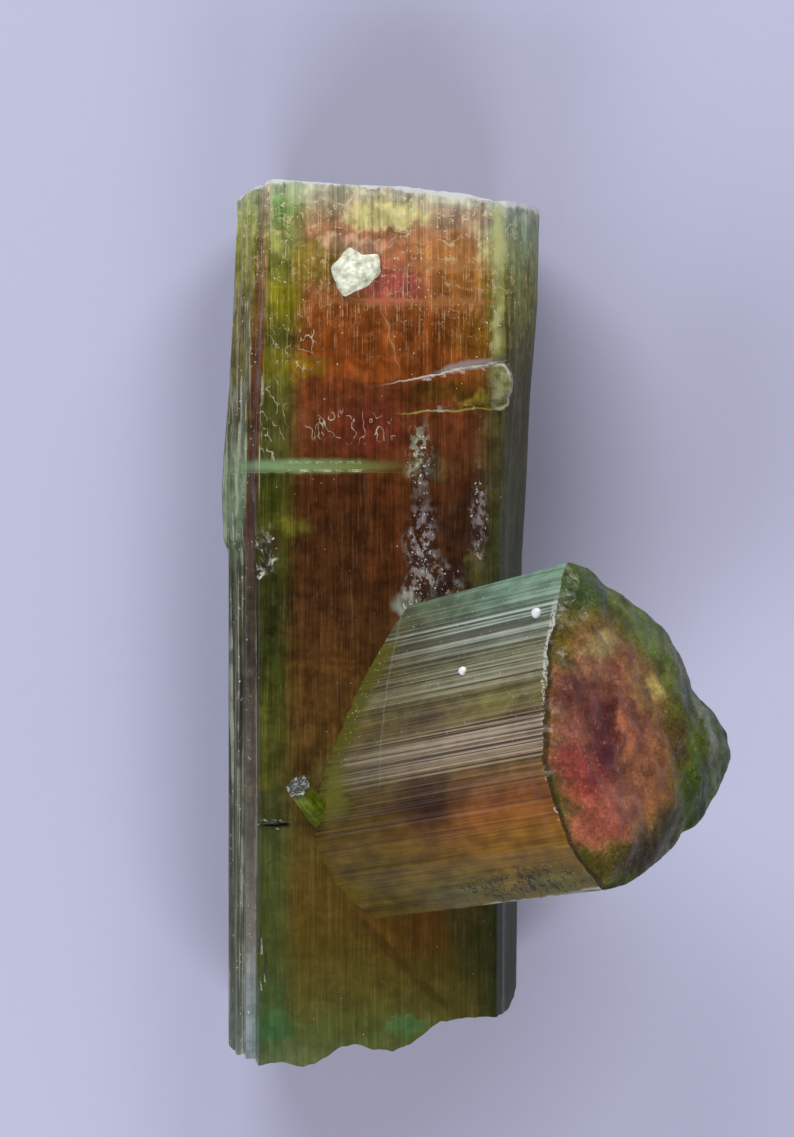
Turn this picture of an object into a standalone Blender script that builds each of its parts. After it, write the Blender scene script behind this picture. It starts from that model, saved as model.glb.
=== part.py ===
"""Watermelon tourmaline: two prisms grown through each other, with a crumb of albite on the larger one.

The larger prism lies on its broad back face, length along Y, front face up (+Z). The smaller one grows out of
its front and right side and ends in a broken face. The origin is the middle of the resting face.
Lengths are in millimetres until they are placed, where MM turns them into metres.
"""

import math
import random

import bmesh
import bpy
from mathutils import Vector, geometry, noise

MM = 0.001

# Large prism. Heights (z) are above the resting face.
THICKNESS = 9.5
BACK_CORNER = 0.66  # share of the reach where the resting face ends
# Along the length: (y, left reach, front's left edge, front's right edge, right reach)
REACHES = [
    (-21.2, -7.35, -5.65, 5.6, 6.7),
    (3.3, -7.35, -5.65, 5.7, 7.05),
    (3.9, -7.6, -5.75, 5.7, 7.1),
    (6.7, -7.7, -5.9, 5.8, 7.25),
    (11.0, -7.35, -5.7, 6.1, 7.45),
    (15.4, -7.1, -5.5, 6.1, 7.8),
    (21.2, -6.9, -5.4, 6.1, 7.95),
]
# Flanks from the front's edges round to the back: (share of the way out, z). Each pair of levels is one ridge.
LEFT_FLANK = [
    (0.00, 9.15),
    (0.14, 8.45),
    (0.40, 8.25),
    (0.47, 7.40),
    (0.70, 7.20),
    (0.77, 6.25),
    (0.95, 6.05),
    (1.00, 4.60),
]
RIGHT_FLANK = [
    (0.00, 9.20),
    (0.30, 8.85),
    (0.34, 8.65),
    (0.60, 8.05),
    (0.64, 7.75),
    (0.86, 6.60),
    (1.00, 4.60),
]
# Under the flank, round to the resting face: (share of the reach, z)
UNDERSIDE = [(0.985, 3.9), (0.96, 3.2), (0.935, 3.1), (0.895, 2.0), (0.87, 1.85), (0.80, 0.9), (0.74, 0.35)]
# Growth bands across the front: (share of its width where the band starts, how far it lies under THICKNESS)
BANDS = [
    (0.0, 0.2),
    (0.05, 0.11),
    (0.135, 0.03),
    (0.16, 0.0),
    (0.25, 0.06),
    (0.275, 0.02),
    (0.38, 0.07),
    (0.395, 0.0),
    (0.43, 0.04),
    (0.56, 0.0),
    (0.575, 0.05),
    (0.70, 0.01),
    (0.735, 0.06),
    (0.75, 0.0),
    (0.86, 0.07),
    (0.945, 0.24),
]
BAND_EDGE = 0.004  # half the share of the width that a band's sloping edge takes
# The two ends, seen from the front: (x, y)
TOP = [(-6.9, 20.5), (-6.1, 20.85), (-4.9, 21.0), (1.0, 20.7), (3.4, 20.4), (6.0, 19.95), (7.9, 19.85)]
TOP_RIM = 0.13  # drop of the worn edge round the top
TOP_RIM_SHARE = 0.975
BASE = [
    (-7.35, -20.75),
    (-7.05, -21.05),
    (-6.3, -21.1),
    (-5.8, -21.15),
    (-4.5, -20.9),
    (-3.8, -21.1),
    (-3.0, -20.95),
    (-1.8, -20.1),
    (-1.0, -20.15),
    (0.7, -20.5),
    (1.5, -20.2),
    (3.0, -19.0),
    (3.8, -18.75),
    (5.4, -18.85),
    (6.3, -18.7),
    (6.7, -18.3),
]
BASE_LEAN = 0.07  # rise of the broken base for each millimetre behind the front
# Hollows in the broken base: (x, z, radius, depth)
SCOOPS = [
    (-4.6, 7.2, 2.1, 0.55),
    (-2.6, 4.0, 2.6, 0.8),
    (0.9, 7.6, 2.2, 0.75),
    (2.6, 4.4, 2.4, 0.7),
    (-0.2, 1.8, 1.9, 0.5),
    (4.8, 2.4, 1.7, 0.4),
]
BASE_ROUGHNESS = 0.22
BASE_FACET = 0.85
TOP_ROUGHNESS = 0.1
TOP_FACET = 1.3
STATIONS = [-16.3, -10.0, -3.5, 3.3, 3.9, 6.7, 8.6, 11.0, 13.0, 15.4, 18.0]

# Small prism. Its own axes: u across, away from the viewer; v up; t out along its length.
JUNCTION = Vector((-3.45, -8.35, THICKNESS))  # where its near side meets the large prism's front
LENGTH_OUT = 15.8
LIFT = math.radians(43)  # out of the large prism's front
SWING = math.radians(14)  # from +X towards +Y
ROOT = -16.6
# Section from the top corner round the far side to the bottom corner: (v, u at the end, u at the root)
FAR_SIDE = [
    (7.9, 4.6, 4.9),
    (7.4, 5.9, 5.9),
    (6.3, 6.9, 6.8),
    (4.9, 8.9, 8.7),
    (3.6, 10.2, 9.6),
    (2.5, 10.9, 10.2),
    (0.6, 11.2, 10.4),
    (-0.4, 12.0, 10.8),
    (-1.8, 12.8, 11.2),
    (-3.0, 12.6, 11.0),
    (-3.9, 11.6, 10.5),
    (-4.8, 10.1, 9.6),
    (-5.4, 8.9, 8.7),
    (-5.5, 7.6, 7.6),
    (-6.0, 6.9, 6.9),
    (-6.5, 4.8, 4.9),
    (-6.8, 3.0, 3.2),
    (-6.7, 1.5, 1.3),
]
# and back up the near side, which carries the striations
NEAR_SIDE = [
    (-5.6, 0.7, 0.65),
    (-4.2, 0.0, 0.25),
    (-2.6, -0.4, 0.0),
    (-1.0, -0.4, 0.15),
    (0.9, 0.1, 0.9),
    (3.2, 1.1, 2.05),
    (5.4, 2.6, 3.2),
    (6.9, 3.6, 4.2),
]
ROOT_HEIGHT = 0.955  # share of its height that the prism has at its root
STRIATION_PITCH = 0.46
STRIATION_DEPTH = 0.16
STRIATION_BAND = (-2.8, 4.6)  # the grooves are deep between these v and fine beyond them
FINE_STRIATION = 0.3  # share of the depth that is left there
SIDE_STATIONS = [ROOT, -12.4, -8.2, -4.4, -1.3]
END_FALL = 0.75  # the broken end's green rim falls away this far
END_RIM = 2.4  # and is this wide
END_ROUGHNESS = 0.3
END_FACET = 0.75

# Stub crystal at the junction's tip: foot and end, both in the large prism's frame
STUB_FOOT = Vector((-2.4, -9.7, 8.9))
STUB_END = Vector((-3.8, -7.7, 10.75))
STUB_RADIUS = 0.66

# Ledge across the upper right of the front: its outline from above, and how proud it stands across it
LEDGE = [(0.6, 11.2), (3.2, 11.85), (6.1, 12.35), (6.5, 11.7), (6.4, 10.9), (5.9, 10.4), (3.6, 10.05), (1.0, 9.9)]
LEDGE_RISE = [(0.6, -0.1), (3.2, 0.16), (6.5, 0.3)]

# Chips: (centre, half sizes)
CHIPS = [
    (Vector((-2.6, 7.35, 9.8)), Vector((5.2, 0.36, 0.55))),  # healed cross fracture
    (Vector((-5.75, 3.1, 9.35)), Vector((0.62, 0.98, 0.75))),  # break beside the seam
    (Vector((-5.2, -9.65, 9.6)), Vector((1.25, 0.17, 0.5))),  # short cross crack
    (Vector((-5.6, -16.2, 9.4)), Vector((0.3, 0.95, 0.4))),  # nick low on the left edge
    (Vector((1.9, 3.9, 9.7)), Vector((0.8, 1.7, 0.42))),  # etched patch
    (Vector((1.5, 1.4, 9.7)), Vector((0.62, 1.1, 0.4))),
    (Vector((2.4, 6.6, 9.75)), Vector((0.42, 1.1, 0.36))),
    (Vector((4.9, 4.6, 9.6)), Vector((0.45, 1.6, 0.36))),
    (Vector((-4.0, 13.2, 9.7)), Vector((0.5, 1.1, 0.36))),
    (Vector((7.15, 2.6, 5.2)), Vector((0.28, 1.3, 1.6))),  # nick in the right flank
]

CHIP_ROUGHNESS = 0.35

# Albite crumb, its foot sunk in the front
CRUMB = [
    (-2.2, 16.8),
    (-1.35, 17.75),
    (-0.8, 17.35),
    (0.0, 17.4),
    (0.15, 16.6),
    (-0.5, 15.95),
    (-1.55, 15.45),
    (-1.95, 15.9),
]
# (height, share of the outline) of its foot, its brim over the pocket's edge, and its top
CRUMB_LEVELS = [(9.3, 0.5), (9.62, 0.5), (9.85, 1.0), (10.05, 0.93), (10.25, 0.6)]
FITTING_GAP = 0.3


def clear_scene():
    for old in list(bpy.data.objects):
        bpy.data.objects.remove(old)


def read(points, place):
    """Value at place on a run of straight stretches through (place, value) points, level past its ends."""
    if place <= points[0][0]:
        return points[0][1]
    for (start, first), (end, last) in zip(points, points[1:]):
        if place <= end:
            return first + (last - first) * (place - start) / (end - start)
    return points[-1][1]


def shrunk(section, share, middle):
    return [
        (middle[0] + (first - middle[0]) * share, middle[1] + (second - middle[1]) * share)
        for first, second in section
    ]


def as_object(name, mesh):
    bmesh.ops.recalc_face_normals(mesh, faces=mesh.faces[:])
    data = bpy.data.meshes.new(name)
    mesh.to_mesh(data)
    mesh.free()
    made = bpy.data.objects.new(name, data)
    bpy.context.scene.collection.objects.link(made)
    return made


def add_ring(mesh, points):
    return [mesh.verts.new(Vector(point) * MM) for point in points]


def add_walls(mesh, rings):
    """Four-sided faces between each ring of corners and the next."""
    for lower, upper in zip(rings, rings[1:]):
        for index in range(len(lower)):
            after = (index + 1) % len(lower)
            mesh.faces.new((lower[index], lower[after], upper[after], upper[index]))


def broken_cap(mesh, ring, outline, facet, place):
    """Close a ring with irregular facets about this size. place turns a flat point into one in space."""
    chance = random.Random(len(ring))
    flat = [Vector(point) for point in outline]
    columns, rows = ([point[axis] for point in outline] for axis in (0, 1))
    across = min(columns) + facet / 2
    while across < max(columns):
        along = min(rows) + facet / 2
        while along < max(rows):
            jitter = Vector((chance.uniform(-0.3, 0.3), chance.uniform(-0.3, 0.3))) * facet
            spot = Vector((across, along)) + jitter
            if within(spot, outline) and edge_distance(spot, outline) > facet * 0.42:
                flat.append(spot)
            along += facet
        across += facet
    edge = list(range(len(ring)))
    spots, _, faces, sources, _, _ = geometry.delaunay_2d_cdt(flat, [], [edge], 1, 1e-6)
    corners = []
    for spot, source in zip(spots, sources):
        on_ring = [index for index in source if index < len(ring)]
        corners.append(ring[on_ring[0]] if on_ring else mesh.verts.new(Vector(place(*spot)) * MM))
    for face in faces:
        mesh.faces.new([corners[index] for index in face])


def within(spot, outline):
    crossings = 0
    for start, end in zip(outline, outline[1:] + outline[:1]):
        if (start[1] > spot[1]) != (end[1] > spot[1]):
            crossing = start[0] + (end[0] - start[0]) * (spot[1] - start[1]) / (end[1] - start[1])
            crossings += crossing > spot[0]
    return crossings % 2 == 1


def edge_distance(spot, outline):
    """How far a flat point is from the outline's nearest side."""
    nearest = math.inf
    for start, end in zip(outline, outline[1:] + outline[:1]):
        _, share = geometry.intersect_point_line(Vector(spot), Vector(start), Vector(end))
        foot = Vector(start).lerp(Vector(end), min(1.0, max(0.0, share)))
        nearest = min(nearest, (foot - Vector(spot)).length)
    return nearest


def large_section(y):
    """(x, z) points round the large prism, from the resting face's left corner by the right flank."""
    left, front_left, front_right, right = (
        read([(row[0], row[column]) for row in REACHES], y) for column in range(1, 5)
    )
    right_flank = [(front_right + share * (right - front_right), z) for share, z in RIGHT_FLANK]
    left_flank = [(front_left + share * (left - front_left), z) for share, z in LEFT_FLANK]
    width = front_right - front_left
    front = []
    for (_, left_drop), (share, right_drop) in zip(BANDS, BANDS[1:]):
        front.append((front_left + (share - BAND_EDGE) * width, THICKNESS - left_drop))
        front.append((front_left + (share + BAND_EDGE) * width, THICKNESS - right_drop))
    return (
        [(BACK_CORNER * left, 0.0), (BACK_CORNER * right, 0.0)]
        + [(share * right, z) for share, z in reversed(UNDERSIDE)]
        + right_flank[::-1]
        + front[::-1]
        + left_flank
        + [(share * left, z) for share, z in UNDERSIDE]
    )


def top_at(x, z):
    bumps = noise.noise(Vector((x, z, 3.0)) * 0.6)
    return read(TOP, x) - 0.02 * (THICKNESS - z) + TOP_ROUGHNESS * bumps


def base_at(x, z):
    y = read(BASE, x) + BASE_LEAN * (THICKNESS - z)
    y += BASE_ROUGHNESS * noise.noise(Vector((x, 7.0, z)) * 0.9)
    for scoop_x, scoop_z, radius, depth in SCOOPS:
        away = math.hypot(x - scoop_x, z - scoop_z) / radius
        if away < 1:
            y += depth * (1 - away * away)
    return y


def large_prism():
    mesh = bmesh.new()
    foot = large_section(REACHES[0][0])
    head = large_section(REACHES[-1][0])
    rim = shrunk(head, TOP_RIM_SHARE, (0.0, THICKNESS / 2))
    rings = [add_ring(mesh, [(x, base_at(x, z), z) for x, z in foot])]
    rings += [add_ring(mesh, [(x, y, z) for x, z in large_section(y)]) for y in STATIONS]
    rings.append(add_ring(mesh, [(x, top_at(x, z) - TOP_RIM, z) for x, z in head]))
    rings.append(add_ring(mesh, [(x, top_at(x, z), z) for x, z in rim]))
    add_walls(mesh, rings)
    broken_cap(mesh, rings[0], foot, BASE_FACET, lambda x, z: (x, base_at(x, z), z))
    broken_cap(mesh, rings[-1], rim, TOP_FACET, lambda x, z: (x, top_at(x, z), z))
    return as_object("tourmaline", mesh)


def small_section(t):
    """(u, v) points round the small prism at t."""
    back = t / ROOT
    smooth = [(u + (root - u) * back, v) for v, u, root in [*FAR_SIDE, *NEAR_SIDE, FAR_SIDE[0]]]
    section = smooth[: len(FAR_SIDE)]
    for start, end in zip(smooth[len(FAR_SIDE) - 1 :], smooth[len(FAR_SIDE) :]):
        steps = max(2, round(2 * abs(end[1] - start[1]) / STRIATION_PITCH))
        for step in range(1, steps):
            v = start[1] + (end[1] - start[1]) * step / steps
            depth = STRIATION_DEPTH * (0.6 + noise.noise(Vector((0.0, v * 1.7, 5.0))))
            if not STRIATION_BAND[0] < v < STRIATION_BAND[1]:
                depth *= FINE_STRIATION
            u = start[0] + (end[0] - start[0]) * step / steps
            section.append((u + depth * (step % 2), v))
        if end != smooth[-1]:
            section.append(end)
    height = 1 + (ROOT_HEIGHT - 1) * back
    return [(u, v * height) for u, v in section]


def small_point(u, v, t):
    out = Vector((math.cos(LIFT) * math.cos(SWING), math.cos(LIFT) * math.sin(SWING), math.sin(LIFT)))
    across = Vector((math.sin(LIFT) * math.cos(SWING), math.sin(LIFT) * math.sin(SWING), -math.cos(LIFT)))
    up = Vector((-math.sin(SWING), math.cos(SWING), 0.0))
    return JUNCTION + out * (LENGTH_OUT + t) + across * u + up * v


def end_at(u, v):
    """How far out the broken end reaches at one point of it."""
    inward = min(1.0, edge_distance((u, v), small_section(0.0)) / END_RIM)
    bumps = noise.fractal(Vector((u, v, 0.0)) * 0.4, 0.8, 2.0, 3)
    return END_FALL * (math.sin(inward * math.pi / 2) - 1) + 0.45 + END_ROUGHNESS * bumps


def small_prism():
    mesh = bmesh.new()
    rings = [add_ring(mesh, [small_point(u, v, t) for u, v in small_section(t)]) for t in SIDE_STATIONS]
    end = small_section(0.0)
    rings.append(add_ring(mesh, [small_point(u, v, end_at(u, v)) for u, v in end]))
    add_walls(mesh, rings)
    mesh.faces.new(rings[0])
    broken_cap(mesh, rings[-1], end, END_FACET, lambda u, v: small_point(u, v, end_at(u, v)))
    return as_object("small_prism", mesh)


def stub():
    """A tiny hexagonal prism."""
    mesh = bmesh.new()
    length = (STUB_END - STUB_FOOT).length
    bmesh.ops.create_cone(
        mesh,
        cap_ends=True,
        segments=6,
        radius1=STUB_RADIUS * MM,
        radius2=STUB_RADIUS * MM * 0.92,
        depth=length * MM,
    )
    made = as_object("stub", mesh)
    made.location = (STUB_FOOT + STUB_END) / 2 * MM
    made.rotation_mode = "QUATERNION"
    made.rotation_quaternion = (STUB_END - STUB_FOOT).to_track_quat("Z", "Y")
    return made


def lump(name, outline, levels, margin=0.0):
    """An upright lump over an outline: at each (height, share) level the outline is drawn in to that share."""
    mesh = bmesh.new()
    centre = [sum(point[axis] for point in outline) / len(outline) for axis in (0, 1)]
    rings = []
    for height, share in levels:
        ring = []
        for x, y in shrunk(outline, share, centre):
            outward = Vector((x - centre[0], y - centre[1])).normalized() * margin
            ring.append((x + outward.x, y + outward.y, height))
        rings.append(add_ring(mesh, ring))
    add_walls(mesh, rings)
    mesh.faces.new(rings[0])
    mesh.faces.new(rings[-1])
    return as_object(name, mesh)


def ledge():
    made = lump("ledge", LEDGE, [(THICKNESS - 0.8, 1.0), (THICKNESS, 0.93)])
    for vertex in made.data.vertices:
        if vertex.co.z > (THICKNESS - 0.4) * MM:
            vertex.co.z += read(LEDGE_RISE, vertex.co.x / MM) * MM
    return made


def chip(centre, half_sizes):
    """A faceted, uneven lens that breaks a shallow hollow out of a face."""
    mesh = bmesh.new()
    bmesh.ops.create_icosphere(mesh, subdivisions=2, radius=1.0)
    for vertex in mesh.verts:
        uneven = vertex.co * (1 + CHIP_ROUGHNESS * noise.noise(vertex.co * 1.6 + centre))
        shaped = Vector(length * size for length, size in zip(uneven, half_sizes))
        vertex.co = (centre + shaped) * MM
    return as_object("chip", mesh)


def combine(target, other, operation):
    step = target.modifiers.new(operation.lower(), "BOOLEAN")
    step.operation = operation
    step.solver = "EXACT"
    step.object = other
    other.hide_render = True
    other.display_type = "WIRE"


def finish_with(target, name, colour, roughness, transmission):
    material = bpy.data.materials.new(name)
    material.use_nodes = True
    shader = material.node_tree.nodes["Principled BSDF"]
    shader.inputs["Base Color"].default_value = (*colour, 1.0)
    shader.inputs["Roughness"].default_value = roughness
    shader.inputs["IOR"].default_value = 1.63
    shader.inputs["Transmission Weight"].default_value = transmission
    target.data.materials.append(material)


def tourmaline():
    crystal = large_prism()
    combine(crystal, ledge(), "UNION")
    for centre, half_sizes in CHIPS:
        combine(crystal, chip(centre, half_sizes), "DIFFERENCE")
    combine(crystal, small_prism(), "UNION")
    combine(crystal, stub(), "UNION")
    foot, foot_share = CRUMB_LEVELS[0]
    pocket_levels = [(foot - FITTING_GAP, foot_share), (THICKNESS + 1.0, foot_share)]
    combine(crystal, lump("pocket", CRUMB, pocket_levels, FITTING_GAP), "DIFFERENCE")
    finish_with(crystal, "tourmaline", (0.16, 0.13, 0.03), 0.12, 0.6)


def albite_crumb():
    crumb = lump("albite_crumb", CRUMB, CRUMB_LEVELS)
    finish_with(crumb, "albite", (0.72, 0.74, 0.62), 0.6, 0.0)


clear_scene()
tourmaline()
albite_crumb()
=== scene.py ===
"""Looks of the watermelon tourmaline: two prisms grown together, an albite crumb and two white beads.

The crystal lies on the back of its large prism, length along Y, and the camera looks straight down on it.
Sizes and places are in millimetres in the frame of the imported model, and MM turns them into metres.
Colours are red, green and blue in thousandths.
"""

import math
import random

import bmesh
import bpy
import numpy as np
from mathutils import Matrix, Vector, geometry, noise


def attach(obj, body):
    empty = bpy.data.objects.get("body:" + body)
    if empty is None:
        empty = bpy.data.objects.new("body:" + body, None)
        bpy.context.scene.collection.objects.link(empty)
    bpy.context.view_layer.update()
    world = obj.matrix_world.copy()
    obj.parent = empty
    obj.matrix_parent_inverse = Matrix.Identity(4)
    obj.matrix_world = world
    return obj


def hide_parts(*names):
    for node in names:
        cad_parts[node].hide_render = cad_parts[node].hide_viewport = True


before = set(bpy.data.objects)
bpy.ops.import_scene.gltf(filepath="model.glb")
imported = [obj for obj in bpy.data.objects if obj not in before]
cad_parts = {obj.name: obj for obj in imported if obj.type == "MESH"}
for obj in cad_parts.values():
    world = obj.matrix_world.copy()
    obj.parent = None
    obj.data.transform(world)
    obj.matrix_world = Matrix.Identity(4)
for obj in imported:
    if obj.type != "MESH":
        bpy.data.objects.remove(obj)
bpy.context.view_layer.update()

MM = 0.001

# ---- large prism, as in the solid
THICKNESS = 9.5
BACK_CORNER = 0.66
# (y, left reach, front's left edge, front's right edge, right reach)
REACHES = [
    (-21.2, -7.35, -5.65, 5.6, 6.7), (3.3, -7.35, -5.65, 5.7, 7.05), (3.9, -7.6, -5.75, 5.7, 7.1),
    (6.7, -7.7, -5.9, 5.8, 7.25), (11, -7.35, -5.7, 6.1, 7.45), (15.4, -7.1, -5.5, 6.1, 7.8),
    (21.2, -6.9, -5.4, 6.1, 7.95),
]
# Corners down the sides: (share of the way out, z)
LEFT_FLANK = [
    (0, 9.4), (0.14, 8.45), (0.4, 8.25), (0.47, 7.4), (0.7, 7.2), (0.77, 6.25), (0.95, 6.05), (1, 4.6),
]
RIGHT_FLANK = [(0, 9.4), (0.3, 8.85), (0.34, 8.65), (0.6, 8.05), (0.64, 7.75), (0.86, 6.6), (1, 4.6)]
UNDERSIDE = [(0.985, 3.9), (0.96, 3.2), (0.935, 3.1), (0.895, 2), (0.87, 1.85), (0.8, 0.9), (0.74, 0.35)]
# (share of the front's width where a growth band starts, how far it lies under THICKNESS)
BANDS = [
    (0, 0.2), (0.05, 0.11), (0.135, 0.03), (0.16, 0), (0.25, 0.06), (0.275, 0.02), (0.38, 0.07), (0.395, 0),
    (0.43, 0.04), (0.56, 0), (0.575, 0.05), (0.7, 0.01), (0.735, 0.06), (0.75, 0), (0.86, 0.07),
    (0.945, 0.24),
]
BAND_EDGE = 0.009
BAND_SHARE = 0.4
TOP = [(-6.9, 20.5), (-6.1, 20.85), (-4.9, 21), (1, 20.7), (3.4, 20.4), (6, 19.95), (7.9, 19.85)]
TOP_RIM = 0.13
TOP_RIM_SHARE = 0.975
BASE = [
    (-7.35, -20.75), (-7.05, -21.05), (-6.3, -21.1), (-5.8, -21.15), (-4.5, -20.9), (-3.8, -21.1),
    (-3, -20.95), (-1.8, -20.1), (-1, -20.15), (0.7, -20.5), (1.5, -20.2), (3, -19), (3.8, -18.75),
    (5.4, -18.85), (6.3, -18.7), (6.7, -18.3),
]
BASE_LEAN = 0.07
# Hollows in the broken base: (x, z, radius, depth)
SCOOPS = [
    (-4.6, 7.2, 2.1, 0.55), (-2.6, 4, 2.6, 0.8), (0.9, 7.6, 2.2, 0.75), (2.6, 4.4, 2.4, 0.7),
    (-0.2, 1.8, 1.9, 0.5), (4.8, 2.4, 1.7, 0.4),
]
BASE_ROUGHNESS = 0.22
BASE_GRAIN = 0.05
# Left of this x the base is a clean step, and it gets fully rough over so far
FLANK_EDGE = -5.9
WORN_OVER = 0.8
TOP_LEAN = 0.02
TOP_ROUGHNESS = 0.1
TOP_GRAIN = 0.035
# The foot's outline is taken so far up, and a plain lead runs from it to the first ring above LEAD_END
FOOT_INSET = 0.3
LEAD_END = -18
LEAD_SHARES = (0, 0.12, 0.3, 0.55, 0.8)
# The front and the chips reach down to these heights
FRONT_FLOOR = 8.9
CHIP_FLOOR = 8.2
# How deep grooves go: on the front, the large prism's sides, the small prism, and more in its banded part
FRONT_GROOVE, SIDE_GROOVE, SMALL_GROOVE, BANDED_GROOVE = 0.005, 0.03, 0.018, 0.085
# The small prism's near side is banded between these v, and the bands fade over these widths
BANDED, BANDED_FADE = (-3.2, 4.9), (0.8, 0.4)
# The torn upper part of the left flank: right edge, lowest height, lower end, depth
TORN = (-5.3, 4, 3.6, 0.13)
PIT_DEPTH = 0.14
LEDGE_SLOPE = 0.16

# ---- small prism, as in the solid
JUNCTION = Vector((-3.45, -8.35, THICKNESS))
LENGTH_OUT = 15.8
LIFT = math.radians(43)
SWING = math.radians(14)
OUT = Vector((math.cos(LIFT) * math.cos(SWING), math.cos(LIFT) * math.sin(SWING), math.sin(LIFT)))
ACROSS = Vector((math.sin(LIFT) * math.cos(SWING), math.sin(LIFT) * math.sin(SWING), -math.cos(LIFT)))
UP = Vector((-math.sin(SWING), math.cos(SWING), 0.0))
END_ORIGIN = JUNCTION + OUT * LENGTH_OUT
ROOT = -16.6
# (v, u at the end, u at the root)
FAR_SIDE = [
    (7.9, 4.6, 4.9), (7.4, 5.9, 5.9), (6.3, 6.9, 6.8), (4.9, 8.9, 8.7), (3.6, 10.2, 9.6), (2.5, 10.9, 10.2),
    (0.6, 11.2, 10.4), (-0.4, 12, 10.8), (-1.8, 12.8, 11.2), (-3, 12.6, 11), (-3.9, 11.6, 10.5),
    (-4.8, 10.1, 9.6), (-5.4, 8.9, 8.7), (-5.5, 7.6, 7.6), (-6, 6.9, 6.9), (-6.5, 4.8, 4.9), (-6.8, 3, 3.2),
    (-6.7, 1.5, 1.3),
]
NEAR_SIDE = [
    (-5.6, 0.7, 0.65), (-4.2, 0, 0.25), (-2.6, -0.4, 0), (-1, -0.4, 0.15), (0.9, 0.1, 0.9),
    (3.2, 1.1, 2.05), (5.4, 2.6, 3.2), (6.9, 3.6, 4.2),
]
ROOT_HEIGHT = 0.955
END_FALL = 0.75
END_RIM = 2.4
END_ROUGHNESS = 0.24
END_GRAIN, END_FINE_GRAIN = 0.05, 0.02
# The broken end stands this far past the nominal end, and the walls reach up to it from RIM_START
END_STANDS = 0.45
RIM_START = -1.2
RIM_SHARES = (0.35, 0.7, 1)

STUB_FOOT = Vector((-2.4, -9.7, 8.9))
STUB_END = Vector((-3.8, -7.7, 10.75))
STUB_RADIUS = 0.66
STUB_TAPER = 0.92

LEDGE = [
    (0.6, 11.2), (3.2, 11.85), (6.1, 12.35), (6.5, 11.7), (6.4, 10.9), (5.9, 10.4), (3.6, 10.05), (1, 9.9),
]
LEDGE_RISE = [(0.6, -0.1), (3.2, 0.16), (6.5, 0.3)]

# Hollows broken out of the front: (centre, half sizes)
CHIPS = [
    ((-2.6, 7.35, 9.8), (5.2, 0.4, 0.42)), ((-5.75, 3.1, 9.35), (0.62, 0.98, 0.75)),
    ((-5.2, -9.65, 9.6), (1.25, 0.17, 0.5)), ((-5.6, -16.2, 9.4), (0.3, 0.95, 0.4)),
    ((1.9, 3.9, 9.7), (0.8, 1.7, 0.42)), ((1.5, 1.4, 9.7), (0.62, 1.1, 0.4)),
    ((2.4, 6.6, 9.75), (0.42, 1.1, 0.36)), ((4.9, 4.6, 9.6), (0.45, 1.6, 0.36)),
    ((-4, 13.2, 9.7), (0.5, 1.1, 0.36)),
]
CHIP_ROUGHNESS = 0.35
# Patches of the front eaten into pits: (x, y, half width, half height)
PITTED = [
    (2, 7.6, 0.6, 1.9), (2.1, 3.6, 0.8, 2.2), (1.6, 1.2, 0.6, 1), (4.75, 5, 0.5, 2.3), (2.9, 1.8, 1.2, 1.1),
    (-5.3, 3.3, 0.5, 1.2),
]

CRUMB = [
    (-2.2, 16.8), (-1.35, 17.75), (-0.8, 17.35), (0, 17.4), (0.15, 16.6), (-0.5, 15.95), (-1.55, 15.45),
    (-1.95, 15.9),
]
# (height, share of the outline) up the crumb's side
CRUMB_LEVELS = [(9.3, 0.8), (9.45, 0.9), (9.6, 0.97), (9.75, 1), (9.9, 0.97), (10.02, 0.88), (10.1, 0.76)]
CRUMB_STEP = 0.08
# How uneven the crumb's side is, how far its top is domed, and how lumpy
CRUMB_UNEVEN, CRUMB_DOME, CRUMB_LUMPS = 0.07, 0.15, 0.13
# (v, t, radius) of the white beads on the small prism's near side
BEADS = [(6, -1.5, 0.24), (4.2, -5.85, 0.2)]
# Shares of its radius that a bead is sunk, and that its surface goes up and down
BEAD_SUNK, BEAD_LUMPS = 0.35, 0.16

# ---- fineness of the meshes
# Large prism: steps along it, (up to this y, step)
STATION_STEPS = [(-10.4, 0.42), (-9, 0.1), (-0.2, 0.42), (8.2, 0.13), (9.8, 0.3), (12.6, 0.15), (20, 0.32)]
FRONT_STEP = 0.075
LEFT_STEP = 0.09
RIGHT_STEP = 0.13
BACK_STEP = 0.7
SIDE_STEP_NEAR = 0.07
SIDE_STEP_FAR = 0.16
SIDE_STATION_STEP = 0.34
ROOT_FACET = 2
BASE_FACET = 0.33
TOP_FACET = 0.4
END_FACET = 0.19
# Shares of a facet that its corners are moved by at most, and kept away from the outline
FACET_SHIFT, FACET_MARGIN = 0.3, 0.42


# ---- camera, light and floor
# One pixel of the photo on the plane of the front
PIXEL = 0.0475
IMAGE_HEIGHT = 1137
SENSOR = 36
CAMERA = (0.9025, 2.5175, 169.5)
CRYSTAL_IOR = 1.62
TRANSMISSION = 0.15
# How much of a crystal's colour sits on its surface; absorption inside gives the rest
SURFACE_SHARE = 0.68
CRYSTAL_SHINE = 0.12
# Brightness of the sides, of the large prism's top and of the small prism's broken end
GAIN, TOP_GAIN, FACE_GAIN = 1.25, 0.95, 1.42
# (colour, density)
ABSORPTION = ((800, 720, 420), 30)
# The floor: metres from its middle to its side, and millimetres it lies under the crystal
FLOOR_REACH = 1.5
FLOOR_GAP = 0.05
FLOOR_COLOUR = (330, 335, 455)
# (height of the direction, 0 at the horizon and 1 overhead, colour of the studio there)
SKY = [(0, 240, 250, 300), (0.35, 220, 220, 270), (0.75, 100, 100, 120), (1, 50, 50, 60)]
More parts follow.
